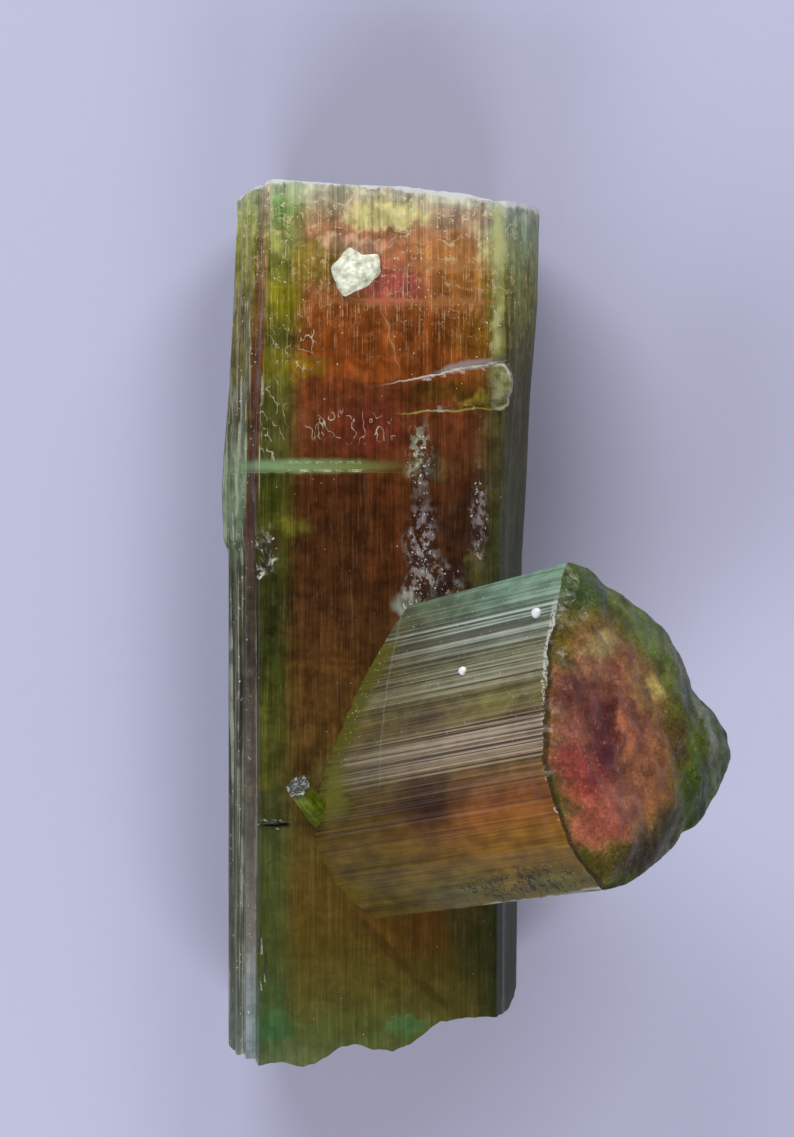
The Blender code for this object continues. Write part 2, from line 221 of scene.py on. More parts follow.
# (name, place, what it faces, width, height, watts, colour)
LAMPS = [
    ("top_left", (-90, 230, 170), (0, 0, 5), 170, 110, 0.7, (1000, 1000, 1000)),
    ("top_right", (120, 210, 190), (0, 0, 5), 120, 110, 0.5, (1000, 990, 970)),
    ("low_left", (-110, -220, 180), (0, 0, 5), 150, 120, 0.6, (970, 980, 1000)),
    ("low_right", (90, -240, 190), (0, 0, 5), 130, 120, 0.5, (1000, 980, 950)),
]


def read(points, place):
    """Value at place on a run of straight stretches through (place, value) points, level past its ends."""
    return np.interp(place, [point[0] for point in points], [point[1] for point in points])


def shrunk(section, share, middle):
    return np.asarray(middle) + (np.asarray(section) - middle) * share


def noise_at(x, y, z, seed, pitch=1):
    """Noise from -1 to 1 at each point, pitch lumps to the millimetre. Coordinates are rows or one number."""
    shift = Vector((seed * 7.13, seed * 3.71, seed * 5.17))
    return np.array([noise.noise(Vector(point) + shift) for point in columns(x, y, z) * pitch])


def columns(*rows):
    return np.stack(np.broadcast_arrays(*rows), 1)


def ring_lengths(corners):
    return np.linalg.norm(np.roll(corners, -1, axis=0) - corners, axis=1)


def edge_distance(spots, outline):
    """How far each flat spot is from the outline's nearest side."""
    starts = np.asarray(outline, float)
    runs = np.roll(starts, -1, axis=0) - starts
    away = spots[:, None, :] - starts[None]
    share = np.clip((away * runs).sum(2) / np.maximum((runs**2).sum(1), 1e-12), 0, 1)
    return np.sqrt(((away - share[..., None] * runs) ** 2).sum(2)).min(1)


def within(spots, outline):
    """Whether each flat spot is inside the outline."""
    starts = np.asarray(outline, float)
    ends = np.roll(starts, -1, axis=0)
    x, y = spots[:, :1], spots[:, 1:]
    crosses = (starts[:, 1] > y) != (ends[:, 1] > y)
    rise = np.where(ends[:, 1] == starts[:, 1], 1, ends[:, 1] - starts[:, 1])
    crossing = starts[:, 0] + (ends[:, 0] - starts[:, 0]) * (y - starts[:, 1]) / rise
    return (crosses & (crossing > x)).sum(1) % 2 == 1


def cap(outline, facet, seed):
    """Irregular triangles over an outline: inner spots, faces that count the outline first, depths in."""
    outline = np.asarray(outline, float)
    chance = random.Random(seed)
    low, high = outline.min(0), outline.max(0)
    spots = []
    across = low[0] + facet / 2
    while across < high[0]:
        along = low[1] + facet / 2
        while along < high[1]:
            spots.append([at + facet * chance.uniform(-FACET_SHIFT, FACET_SHIFT) for at in (across, along)])
            along += facet
        across += facet
    spots = np.array(spots)
    spots = spots[within(spots, outline)]
    spots = spots[edge_distance(spots, outline) > facet * FACET_MARGIN]
    flat = [Vector(spot) for spot in np.concatenate([outline, spots])]
    edge = list(range(len(outline)))
    _, _, faces, sources, _, _ = geometry.delaunay_2d_cdt(flat, [], [edge], 1, 1e-7)
    return spots, [[sources[index][0] for index in face] for face in faces], edge_distance(spots, outline)


def lofted(name, rings, caps):
    """A closed mesh: walls between rings of points, and a (points, faces, depths in) cap at each end.

    Its corners carry how far in from the outline of a cap they are, 0 on the walls, as "rim".
    """
    size = len(rings[0])
    points = np.concatenate([*rings, caps[0][0], caps[1][0]])
    faces = []
    for ring in range(len(rings) - 1):
        low = ring * size
        for index in range(size):
            after = (index + 1) % size
            faces.append((low + index, low + after, low + size + after))
            faces.append((low + index, low + size + after, low + size + index))
    inner = len(rings) * size
    for ring_start, (extra, cap_faces, _) in zip((0, (len(rings) - 1) * size), caps):
        for face in cap_faces:
            faces.append([ring_start + i if i < size else inner + i - size for i in face])
        inner += len(extra)
    mesh = bpy.data.meshes.new(name)
    mesh.from_pydata((points * MM).tolist(), [], faces)
    depths = np.concatenate([np.zeros(inner - len(caps[0][2]) - len(caps[1][2])), caps[0][2], caps[1][2]])
    made = solid(name, mesh)
    corners = np.zeros(len(mesh.loops), dtype=np.int32)
    mesh.loops.foreach_get("vertex_index", corners)
    mesh.attributes.new("rim", "FLOAT", "CORNER").data.foreach_set("value", depths[corners])
    return made


def solid(name, mesh):
    """An object of the mesh with its faces pointing out."""
    work = bmesh.new()
    work.from_mesh(mesh)
    bmesh.ops.recalc_face_normals(work, faces=work.faces[:])
    work.to_mesh(mesh)
    work.free()
    made = bpy.data.objects.new(name, mesh)
    bpy.context.scene.collection.objects.link(made)
    return made


# ---- large prism
def large_corners(y):
    """(x, z) corners round the large prism at y, and the step wanted after each."""
    left, front_left, front_right, right = (
        read([(row[0], row[column]) for row in REACHES], y) for column in range(1, 5)
    )
    right_flank = [(front_right + share * (right - front_right), z) for share, z in RIGHT_FLANK]
    left_flank = [(front_left + share * (left - front_left), z) for share, z in LEFT_FLANK]
    width = front_right - front_left
    front = []
    for (_, left_drop), (share, right_drop) in zip(BANDS, BANDS[1:]):
        front.append((front_left + (share - BAND_EDGE) * width, THICKNESS - left_drop * BAND_SHARE))
        front.append((front_left + (share + BAND_EDGE) * width, THICKNESS - right_drop * BAND_SHARE))
    under_left, under_right = ([(share * reach, z) for share, z in UNDERSIDE] for reach in (left, right))
    stretches = [
        ([(BACK_CORNER * left, 0)], BACK_STEP),
        ([(BACK_CORNER * right, 0)] + under_right[::-1], RIGHT_STEP * 2),
        (right_flank[::-1][:-1], RIGHT_STEP),
        ([right_flank[0]] + front[::-1], FRONT_STEP),
        (left_flank[:-1], LEFT_STEP),
        ([left_flank[-1]] + under_left, LEFT_STEP * 2),
    ]
    corners = [corner for stretch, _ in stretches for corner in stretch]
    steps = [step for stretch, step in stretches for _ in stretch]
    return np.array(corners), steps


def point_counts(corners, steps):
    """How many points each stretch between corners gets, the same all along a prism."""
    return [max(1, round(length / step)) for length, step in zip(ring_lengths(corners), steps)]


def dense(corners, counts):
    """The run of corners with each stretch cut into its count of equal steps."""
    after = np.roll(corners, -1, axis=0)
    return np.concatenate(
        [start + (end - start) * (np.arange(n) / n)[:, None] for start, end, n in zip(corners, after, counts)]
    )


def top_at(x, z):
    rough = TOP_ROUGHNESS * noise_at(x, z, 3, 0, 0.6) + TOP_GRAIN * noise_at(x, z, 0, 4, 2.6)
    return read(TOP, x) - TOP_LEAN * (THICKNESS - z) + rough


def base_at(x, z):
    worn = np.clip((x - FLANK_EDGE) / WORN_OVER, 0, 1)
    rough = BASE_ROUGHNESS * noise_at(x, 7, z, 0, 0.9) + BASE_GRAIN * noise_at(x, z, 0, 2, 3)
    y = read(BASE, x) + BASE_LEAN * (THICKNESS - z) + worn * rough
    for scoop_x, scoop_z, radius, depth in SCOOPS:
        away = np.hypot(x - scoop_x, z - scoop_z) / radius
        y += depth * np.clip(1 - away * away, 0, None)
    return y


def groove_depths(count, seed, pitch):
    """How deep each point round a prism lies under its face: fine grooves, some wide and some narrow."""
    place = np.arange(count)
    coarse, medium, fine = (
        noise_at(place / pitch * times, 0, 0, seed + index) for index, times in enumerate((1, 2.3, 4.1))
    )
    return np.clip(0.5 + 0.9 * coarse + 0.6 * medium + 0.5 * fine, 0, 1.6)


def large_prism():
    counts = point_counts(*large_corners(0))
    stations = [REACHES[0][0] + FOOT_INSET]
    for limit, step in STATION_STEPS:
        while stations[-1] < limit - step * 0.6:
            stations.append(stations[-1] + step)
    grooves = groove_depths(sum(counts), 1, 6)
    rings = []
    for y in stations:
        ring = rounded(dense(large_corners(y)[0], counts))
        depth, chipped = large_relief(ring, y, grooves)
        x, z = (ring - outward(ring) * depth[:, None]).T
        rings.append(columns(x, y, z - chipped))
    foot, head = rings[0][:, [0, 2]], rings[-1][:, [0, 2]]
    rim = shrunk(head, TOP_RIM_SHARE, (0, THICKNESS / 2))
    low, high = base_at(*foot.T), top_at(*head.T)
    lead = [columns(foot[:, 0], low + (LEAD_END - low) * share, foot[:, 1]) for share in LEAD_SHARES]
    walls = [ring for ring in rings if ring[0, 1] > LEAD_END]
    crown = [columns(head[:, 0], high - TOP_RIM, head[:, 1]), columns(rim[:, 0], top_at(*rim.T), rim[:, 1])]
    caps = []
    for outline, facet, place in ((foot, BASE_FACET, base_at), (rim, TOP_FACET, top_at)):
        spots, faces, depths = cap(outline, facet, 5)
        caps.append((columns(spots[:, 0], place(*spots.T), spots[:, 1]), faces, depths))
    return lofted("tourmaline_crystals", lead + walls + crown, caps)


def rounded(ring):
    """The ring with its sharpest corners worn off."""
    return (np.roll(ring, 1, axis=0) + 2 * ring + np.roll(ring, -1, axis=0)) / 4


def outward(ring):
    """The direction out of a flat ring at each of its points."""
    along = np.roll(ring, -1, axis=0) - np.roll(ring, 1, axis=0)
    along /= np.linalg.norm(along, axis=1)[:, None]
    return np.stack([along[:, 1], -along[:, 0]], 1)


def large_relief(ring, y, grooves):
    """How deep points of the ring at y lie under their faces, and how far the front is broken down there."""
    x, z = ring.T
    front = z > FRONT_FLOOR
    fade = 0.6 + 0.8 * noise_at(x * 0.9, y * 0.22, z * 0.9, 9)
    depth = grooves * np.clip(fade, 0.1, 1.4) * np.where(front, FRONT_GROOVE, SIDE_GROOVE)
    torn_right, torn_height, torn_from, torn_depth = TORN
    if y > torn_from:
        tears = torn_depth * np.clip(noise_at(x * 1.6, y * 0.8, z * 1.6, 12) + 0.1, 0, 1)
        depth = depth + np.where((x < torn_right) & (z > torn_height), tears, 0)
    depth[z < 0.2] = 0
    chipped = np.zeros_like(x)
    for (cx, cy, cz), (half_x, half_y, half_z) in CHIPS:
        uneven = 1 + CHIP_ROUGHNESS * noise_at(x, y, z, cx, 1.3)
        inside = 1 - ((x - cx) / (half_x * uneven)) ** 2 - ((y - cy) / (half_y * uneven)) ** 2
        bottom = cz - half_z * np.sqrt(np.clip(inside, 0, 1))
        cut = (inside > 0) & (z > CHIP_FLOOR) & (bottom < z)
        chipped[cut] = np.maximum(chipped[cut], z[cut] - bottom[cut])
    for cx, cy, half_x, half_y in PITTED:
        away = np.hypot((x - cx) / half_x, (y - cy) / half_y)
        pitted = front & (away < 1)
        if pitted.any():
            pits = np.clip(noise_at(x[pitted] * 2.6, y * 2, z[pitted], 14) + 0.15, 0, 1)
            chipped[pitted] += PIT_DEPTH * pits * np.clip(2 - 2 * away[pitted], 0, 1)
    spots = columns(x, y)
    on_ledge = within(spots, LEDGE) & front
    if on_ledge.any():
        step = np.clip(edge_distance(spots, LEDGE) / LEDGE_SLOPE, 0, 1)
        rise = np.maximum(THICKNESS + read(LEDGE_RISE, x) - z, 0) * step
        chipped[on_ledge] = -rise[on_ledge]
    return depth, chipped


# ---- small prism
def small_section(t, counts):
    """(u, v) points round the small prism at t."""
    back = t / ROOT
    height = 1 + (ROOT_HEIGHT - 1) * back
    corners = np.array([(u + (root - u) * back, v * height) for v, u, root in FAR_SIDE + NEAR_SIDE])
    return dense(corners, counts)


def small_points(section, t):
    """Points in space from (u, v) rows and how far out each is."""
    return (
        np.array(END_ORIGIN)
        + np.outer(np.broadcast_to(t, len(section)), OUT)
        + np.outer(section[:, 0], ACROSS)
        + np.outer(section[:, 1], UP)
    )


def small_prism():
    steps = [SIDE_STEP_FAR] * (len(FAR_SIDE) - 1) + [SIDE_STEP_NEAR] * (len(NEAR_SIDE) + 1)
    counts = point_counts(np.array([(u, v) for v, u, _ in FAR_SIDE + NEAR_SIDE]), steps)
    end = rounded(small_section(0, counts))
    near = np.arange(len(end)) >= sum(counts[: len(FAR_SIDE) - 1])
    grooves = groove_depths(len(end), 21, 4.5)
    rings = []
    for t in np.arange(ROOT, RIM_START, SIDE_STATION_STEP):
        section = rounded(small_section(t, counts))
        section = section - outward(section) * small_relief(section, t, grooves, near)[:, None]
        rings.append(small_points(section, t))
    edge = end - outward(end) * small_relief(end, 0, grooves, near)[:, None]
    reach = end_at(edge, edge) - RIM_START
    rings += [small_points(edge, RIM_START + reach * share) for share in RIM_SHARES]
    root = rounded(small_section(ROOT, counts))
    root_spots, root_faces, _ = cap(root, ROOT_FACET, 8)
    end_spots, end_faces, depths = cap(edge, END_FACET, 6)
    caps = [
        (small_points(root_spots, ROOT), root_faces, np.zeros(len(root_spots))),
        (small_points(end_spots, end_at(end_spots, edge)), end_faces, depths),
    ]
    made = lofted("small_prism", rings, caps)
    for face in made.data.polygons[-len(end_faces) :]:
        face.material_index = 1
    return made


def small_relief(section, t, grooves, near):
    """How deep each point of the small prism's section lies under its face."""
    v = section[:, 1]
    banded = near * np.clip((BANDED[1] - v) / BANDED_FADE[1], 0, 1)
    banded = banded * np.clip((v - BANDED[0]) / BANDED_FADE[0], 0, 1)
    fade = 0.8 + 0.5 * noise_at(v * 1.5, t * 0.12, 0, 31)
    return grooves * np.clip(fade, 0.15, 1.3) * (SMALL_GROOVE + BANDED_GROOVE * banded)


def end_at(spots, outline):
    """How far out the broken end reaches at each flat spot."""
    u, v = spots.T
    inward = np.clip(edge_distance(spots, outline) / END_RIM, 0, 1)
    bumps = np.array([noise.fractal(Vector(point) * 0.4, 0.8, 2, 3) for point in columns(u, v, 0)])
    reach = END_FALL * (np.sin(inward * math.pi / 2) - 1) + END_STANDS + END_ROUGHNESS * bumps
    return reach + END_GRAIN * noise_at(u, v, 0, 41, 1.9) + END_FINE_GRAIN * noise_at(u, v, 0, 42, 4.5)


def stub():
    mesh = bpy.data.meshes.new("stub")
    work = bmesh.new()
    run = STUB_END - STUB_FOOT
    sizes = {"radius1": STUB_RADIUS * MM, "radius2": STUB_RADIUS * STUB_TAPER * MM, "depth": run.length * MM}
    bmesh.ops.create_cone(work, cap_ends=True, segments=6, **sizes)
    turn = run.to_track_quat("Z", "Y").to_matrix().to_4x4()
    place = Matrix.Translation((STUB_FOOT + STUB_END) / 2 * MM)
    bmesh.ops.transform(work, matrix=place @ turn, verts=work.verts[:])
    work.to_mesh(mesh)
    work.free()
    return solid("stub", mesh)


def albite_crumb():
    corners = np.array(CRUMB)
    outline = rounded(dense(corners, point_counts(corners, [CRUMB_STEP] * len(CRUMB))))
    middle = outline.mean(0)
    rings = []
    for height, share in CRUMB_LEVELS:
        ring = shrunk(outline, share, middle)
        uneven = noise_at(ring[:, 0] * 3, ring[:, 1] * 3, height * 4, 51)
        ring = ring + outward(ring) * (CRUMB_UNEVEN * uneven - 0.03)[:, None]
        rings.append(columns(*ring.T, height))
    spots, faces, depths = cap(rings[0][:, :2], 0.3, 9)
    caps = [(columns(*spots.T, CRUMB_LEVELS[0][0]), faces, depths)]
    spots, faces, depths = cap(rings[-1][:, :2], CRUMB_STEP, 7)
    lumps = np.array([noise.fractal(Vector((x * 2.2, y * 2.2, 4)), 0.7, 2, 3) for x, y in spots])
    domed = CRUMB_DOME * np.clip(depths / 0.4, 0, 1) + CRUMB_LUMPS * lumps * np.clip(depths / 0.2, 0, 1)
    caps.append((columns(*spots.T, CRUMB_LEVELS[-1][0] + domed), faces, depths))
    return lofted("albite_crumb_detail", rings, caps)


def bead(name, v, t, radius, seed):
    """A lumpy white bead sunk in the small prism's near side."""
    near = sorted((row[0], row[1] + (row[2] - row[1]) * t / ROOT) for row in NEAR_SIDE)
    centre = small_points(np.array([[read(near, v) - radius * BEAD_SUNK, v]]), t)[0]
    mesh = bpy.data.meshes.new(name)
    work = bmesh.new()
    bmesh.ops.create_icosphere(work, subdivisions=3, radius=radius * MM)
    for vertex in work.verts:
        lump = noise.noise(vertex.co / MM * 4 + Vector((seed * 5, 0, 0)))
        vertex.co = vertex.co * (1 + BEAD_LUMPS * lump) + Vector(centre) * MM
    work.to_mesh(mesh)
    work.free()
    for face in mesh.polygons:
        face.use_smooth = True
    return solid(name, mesh)


def join(target, others):
    """One closed mesh of several that overlap."""
    for other in others:
        step = target.modifiers.new("union", "BOOLEAN")
        step.operation = "UNION"
        step.solver = "EXACT"
        step.material_mode = "TRANSFER"
        step.object = other
    ready = target.evaluated_get(bpy.context.evaluated_depsgraph_get())
    joined = bpy.data.meshes.new_from_object(ready)
    target.modifiers.clear()
    target.data = joined
    for other in others:
        bpy.data.objects.remove(other)


# ---- materials
def full(colour):
    """A colour in thousandths as Blender takes it."""
    return (*(part / 1000 for part in colour), 1)


class Paint:
    """One material's nodes. Each call adds a node and gives back its output; lengths are in millimetres.

    Without an ior it's the clear crystal. colour is what cover and shade have made so far.
    """

    def __init__(self, name, ior=None, tree=None):
        if tree is not None:
            self.tree = tree
            return
        self.clear = ior is None
        self.material = bpy.data.materials.new(name)
        self.material.use_nodes = True
        self.tree = self.material.node_tree
        self.shader = self.tree.nodes["Principled BSDF"].inputs
        self.shader["IOR"].default_value = ior or CRYSTAL_IOR
        self.shader["Transmission Weight"].default_value = TRANSMISSION if self.clear else 0
        self.shader["Specular IOR Level"].default_value = CRYSTAL_SHINE if self.clear else 0.5
        place = self.add("ShaderNodeTexCoord", out="Object")
        self.place = self.vector("MULTIPLY", place, (1 / MM, 1 / MM, 1 / MM))

    def add(self, kind, inputs=(), out=0, **settings):
        node = self.tree.nodes.new(kind)
        for name, value in settings.items():
            setattr(node, name, value)
        for key, value in dict(inputs).items():
            self.feed(node.inputs[key], value)
        return node.outputs[out]

    def feed(self, socket, value):
        if isinstance(value, bpy.types.NodeSocket):
            self.tree.links.new(value, socket)
        else:
            socket.default_value = value

    def vector(self, operation, a, b, c=(0, 0, 0), out=0):
        return self.add("ShaderNodeVectorMath", {0: a, 1: b, 2: c}, out, operation=operation)

    def number(self, operation, a, b=0, c=0):
        return self.add("ShaderNodeMath", {0: a, 1: b, 2: c}, operation=operation)

    def split(self, place):
        return tuple(self.add("ShaderNodeSeparateXYZ", {0: place}).node.outputs)

    def seen_from(self, origin, turn):
        """The place in directions turned about the origin."""
        inputs = {0: self.place, 1: tuple(origin), 2: tuple(turn), 3: (1, 1, 1)}
        return self.add("ShaderNodeMapping", inputs, vector_type="TEXTURE")

    def bent(self, shift, amount, place=None):
        return self.vector("MULTIPLY_ADD", shift, amount, place or self.place)

    def noise(self, stretch, place=None, detail=1, roughness=0.5):
        """Noise from 0 to 1 with so many lumps a millimetre along each axis."""
        spots = self.vector("MULTIPLY", place or self.place, stretch)
        inputs = {"Vector": spots, "Scale": 1, "Detail": detail, "Roughness": roughness}
        return self.add("ShaderNodeTexNoise", inputs)

    def clouds(self, stretch, place=None):
        """Ragged noise from 0 to 1, and a shift of up to half a millimetre that goes with it."""
        made = self.noise(stretch, place, 2, 0.6)
        return made, self.vector("SUBTRACT", made.node.outputs[1], (0.5, 0.5, 0.5))

    def rise(self, value, low, high, floor=0, top=1):
        """Smooth step from floor at low to top at high; low may be the greater."""
        inputs = {0: value, 1: low, 2: high, 3: floor, 4: top}
        return self.add("ShaderNodeMapRange", inputs, interpolation_type="SMOOTHSTEP")

    def band(self, value, low, high, soft, top=1):
        """Top between low and high, 0 outside, with soft edges."""
        rise = self.rise(value, low - soft, low + soft, 0, top)
        return self.number("MULTIPLY", rise, self.rise(value, high + soft, high - soft))

    def both(self, *masks, operation="MULTIPLY"):
        made = masks[0]
        for mask in masks[1:]:
            made = self.number(operation, made, mask)
        return made

    def either(self, *masks):
        return self.both(*masks, operation="MAXIMUM")

    def ramp(self, value, stops):
        """Colours along a value, from (value, red, green, blue) stops, or (value, grey from 0 to 1) stops."""
        low, high = stops[0][0], stops[-1][0]
        share = self.add("ShaderNodeMapRange", {0: value, 1: low, 2: high})
        made = self.add("ShaderNodeValToRGB", {0: share})
        elements = made.node.color_ramp.elements
        while len(elements) < len(stops):
            elements.new(0.5)
        for element, (stop, *_) in zip(elements, stops):
            element.position = (stop - low) / (high - low)
        for element, (_, *colour) in zip(elements, stops):
            element.color = full(colour) if colour[1:] else (*colour * 3, 1)
        return made

    def mix(self, share, a, b):
        colours = [full(value) if isinstance(value, tuple) else value for value in (a, b)]
        return self.add("ShaderNodeMix", {0: share, 6: colours[0], 7: colours[1]}, 2, data_type="RGBA")

    def cover(self, tint, *masks):
        """Lays a tint over the colour, as much as all the masks let it."""
        self.colour = self.mix(self.both(*masks), self.colour, tint)

    def away(self, place, centre, half, turn=0):
        """How far a place is from the centre, in half sizes. turn is in degrees about Z."""
        if turn:
            inputs = {0: place, 1: centre, 2: (0, 0, math.radians(turn)), 3: half}
            local = self.add("ShaderNodeMapping", inputs, vector_type="TEXTURE")
        else:
            back = tuple(-c / h for c, h in zip(centre, half))
            local = self.vector("MULTIPLY_ADD", place, tuple(1 / h for h in half), back)
        return self.vector("LENGTH", local, (0, 0, 0), out=1)

    def patch(self, place, centre, half, edge, strength=1, turn=0):
        """Mask of an ellipsoid: 0 outside, strength inside, changing between two shares of its half sizes."""
        return self.rise(self.away(place, centre, half, turn), *edge, 0, strength)

    def shade(self, gain, noises, calm=None):
        """Makes the colour lighter and darker by each (noise, darkest, lightest), as much as calm lets it."""
        share = self.both(*[self.rise(made, 0.3, 0.7, dark, light) for made, dark, light in noises])
        if calm is not None:
            share = self.number("MULTIPLY_ADD", self.number("SUBTRACT", share, 1), calm, 1)
        self.scale(self.both(share, gain))

    def depth_in(self):
        """How far in from a broken end's outline, 0 on the sides."""
        return self.add("ShaderNodeAttribute", out="Fac", attribute_name="rim")

    def scale(self, share):
        self.colour = self.add("ShaderNodeVectorMath", {0: self.colour, 3: share}, operation="SCALE")

    def finish(self, roughness, bumps):
        """Feeds the shader. bumps are (height, depth in millimetres), added up."""
        if self.clear:
            self.scale(SURFACE_SHARE)
            inside = {"Color": full(ABSORPTION[0]), "Density": ABSORPTION[1]}
            inside = self.add("ShaderNodeVolumeAbsorption", inside)
            self.feed(self.tree.nodes["Material Output"].inputs["Volume"], inside)
        height = 0
        for bump, depth in bumps:
            height = self.number("MULTIPLY_ADD", bump, depth, height)
        normal = self.add("ShaderNodeBump", {"Height": height, "Distance": MM, "Strength": 1.0})
        for name, value in {"Base Color": self.colour, "Roughness": roughness, "Normal": normal}.items():
            self.feed(self.shader[name], value)
        return self.material


def contours(paint, noise_out, width, top=1):
    """Thin wandering lines, where a noise passes its middle."""
    off = paint.number("ABSOLUTE", paint.number("SUBTRACT", noise_out, 0.5))
    return paint.rise(off, width, width * 0.3, 0, top)


# (y, colour) up the large prism: core, left edge, the strip beside that, left flank, right edge; the strip's
# pale blue-grey low end is painted reflection
CORE = [
    (-21, 90, 110, 40), (-19.6, 70, 85, 20), (-18, 78, 66, 13), (-15.6, 72, 52, 8), (-13.2, 85, 48, 8),
    (-10.9, 75, 52, 10), (-7, 72, 40, 9), (-2.3, 62, 27, 6), (1, 46, 18, 5), (4.8, 44, 15, 4),
    (7.6, 75, 22, 6), (9.1, 105, 30, 10), (11.4, 130, 33, 9), (11.7, 185, 45, 8), (13.8, 230, 60, 10),
    (15, 230, 66, 13), (15.4, 330, 105, 34), (17.2, 410, 150, 55), (18.6, 430, 200, 100),
    (19.5, 420, 310, 180), (20.6, 500, 500, 380),
]
LEFT_EDGE = [
    (-21, 80, 110, 45), (-19.6, 40, 80, 26), (-16, 52, 63, 14), (-10.9, 46, 58, 15), (-8.3, 32, 34, 10),
    (-7.9, 62, 60, 10), (-2.3, 22, 26, 5), (1, 24, 28, 6), (4.4, 52, 54, 7), (5.8, 30, 38, 4),
    (8.5, 55, 56, 12), (10.8, 75, 72, 14), (12, 145, 128, 10), (13.2, 72, 74, 12), (15.2, 200, 190, 12),
    (16.8, 120, 130, 20), (18, 240, 250, 75), (19.5, 190, 280, 75), (20.6, 400, 480, 300),
]
STRIP = [
    (-21, 200, 250, 250), (-18, 240, 280, 270), (-15, 180, 170, 140), (-8, 95, 82, 60), (1, 46, 34, 21),
    (4, 62, 37, 28), (8, 66, 28, 12), (12.6, 120, 45, 12), (15.3, 280, 140, 32), (17.8, 220, 160, 50),
    (20.6, 430, 400, 220),
]
FLANK_COLOURS = [
    (-21, 120, 150, 120), (-16, 85, 95, 65), (-5, 45, 48, 26), (2.6, 52, 56, 26), (5.5, 130, 190, 105),
    (8, 130, 170, 90), (10, 78, 74, 34), (15, 190, 165, 40), (18, 300, 300, 50), (19.3, 400, 460, 80),
    (20.6, 380, 420, 230),
]
RIGHT_EDGE = [
    (-21, 40, 65, 22), (-16, 26, 32, 8), (-10.9, 34, 42, 13), (-2, 40, 44, 14), (4, 38, 44, 12),
    (9, 60, 54, 20), (12, 56, 48, 10), (14.5, 72, 80, 6), (17, 170, 185, 30), (18.4, 240, 285, 130),
    (19.6, 250, 330, 220), (20.6, 440, 490, 400),
]
# Zones in the large prism: (x, y, half width, half height, strength, colour, degrees where turned)
ZONES = [
    (0.4, 19.3, 2.3, 0.6, 0.95, (760, 690, 280)), (-4.6, 19.4, 0.5, 1.2, 0.7, (170, 300, 90)),
    (0.6, 18.5, 2.6, 0.3, 0.7, (380, 170, 80)), (-1.2, 17.9, 1.8, 0.5, 0.9, (680, 400, 260)),
    (4, 19.2, 1.6, 0.6, 0.7, (320, 190, 130)), (-3.1, 17.2, 1.3, 1.5, 0.8, (200, 165, 22)),
    (-4.4, 18, 0.6, 1, 0.6, (360, 380, 100)), (0.7, 16.2, 1.7, 1.2, 0.8, (420, 85, 75)),
    (3.5, 17.2, 2, 1.5, 0.6, (350, 150, 30)), (3.9, 15.9, 1.5, 0.9, 0.7, (220, 85, 14)),
    (5.5, 17.9, 0.9, 0.9, 0.6, (460, 430, 190)), (4.4, 13.6, 1.3, 1.4, 0.7, (145, 62, 6)),
    (-4.5, 15.3, 0.7, 0.8, 0.8, (220, 200, 10)), (-3.3, 12.2, 1.1, 0.6, 0.5, (260, 170, 10)),
    (-0.5, 11.7, 1.8, 0.4, 0.6, (260, 65, 12)), (-0.4, 9.2, 2, 1.3, 0.7, (120, 20, 10)),
    (3, 10.95, 2.2, 0.6, 0.9, (78, 34, 4), 5), (4.6, 10.5, 0.9, 0.35, 0.7, (220, 180, 20)),
    (-4.1, 4.5, 1.1, 0.6, 0.5, (100, 100, 10)), (3.7, 4.6, 0.9, 1.9, 0.8, (45, 18, 8)),
    (2.4, 7.2, 1.1, 0.8, 0.6, (120, 90, 35)), (4.6, 2.4, 0.8, 1.2, 0.6, (95, 95, 30)),
    (0.6, 4.4, 1.1, 3.4, 0.6, (74, 20, 5)), (-4.9, -3.3, 0.6, 1.6, 0.6, (55, 62, 8)),
    (-2.7, -7.2, 0.9, 0.8, 0.6, (150, 120, 30)), (1.2, -14.6, 2.2, 1.6, 0.6, (120, 52, 9), -20),
    (-2.6, -12.2, 0.9, 2.6, 0.5, (78, 52, 10)), (1.4, -19.2, 1.5, 0.5, 0.8, (60, 140, 45), 10),
    (-4.9, -19.3, 0.9, 0.8, 0.7, (35, 90, 30)), (4.6, -14.5, 1.4, 3.6, 0.6, (28, 36, 10)),
]
# What the height up the prism is brought to at its top, and the span of its top's heights
TOP_HEIGHT = 20.75
TOP_SPAN = (19, 22)
# (y, colour) of the fine cross-lying feathers
FEATHERS = [(8, 240, 70, 30), (14, 450, 190, 70), (18, 660, 480, 260), (20, 800, 800, 450)]
# Marks on the front, in the same way as ZONES; the silvery lines along the ledge's upper edge and the white
# marks at the chips by the left edge are painted highlights
MARKS = [
    (4.3, 12.15, 1.7, 0.24, 0.75, (340, 310, 300), 10), (3.2, 11.85, 2.9, 0.05, 0.9, (600, 540, 440), 11.5),
    (3.4, 10.02, 2.4, 0.06, 0.8, (420, 380, 80), 3), (0.4, 15.27, 1.8, 0.1, 0.9, (620, 130, 130)),
    (1.2, 15.2, 4.8, 0.22, 0.5, (400, 170, 50)), (2.8, 16.9, 3, 0.3, 0.4, (440, 210, 90)),
    (0.67, 13.4, 1.6, 0.05, 0.8, (420, 200, 90), -72.7), (0.33, -15.4, 2, 0.3, 0.45, (40, 22, 6), -47),
    (2.45, -17.6, 1.1, 0.25, 0.4, (40, 22, 6), -42), (-5.05, 2.8, 0.36, 0.12, 0.9, (600, 600, 520), 35),
    (-5.55, 2.2, 0.35, 0.09, 0.95, (700, 700, 640), 40), (1.35, 0.85, 0.65, 0.65, 0.9, (360, 390, 300), 20),
    (-5.2, -9.62, 0.75, 0.07, 0.9, (420, 460, 400), 3),
]
# The mint seam across the front: (x, y, half width, half height), and its colours by x
SEAM = (-3.1, 7.4, 4.8, 0.38)
SEAM_COLOURS = [(-7, 270, 420, 240), (-4.5, 250, 380, 170), (-1, 200, 260, 70), (1.5, 180, 150, 40)]
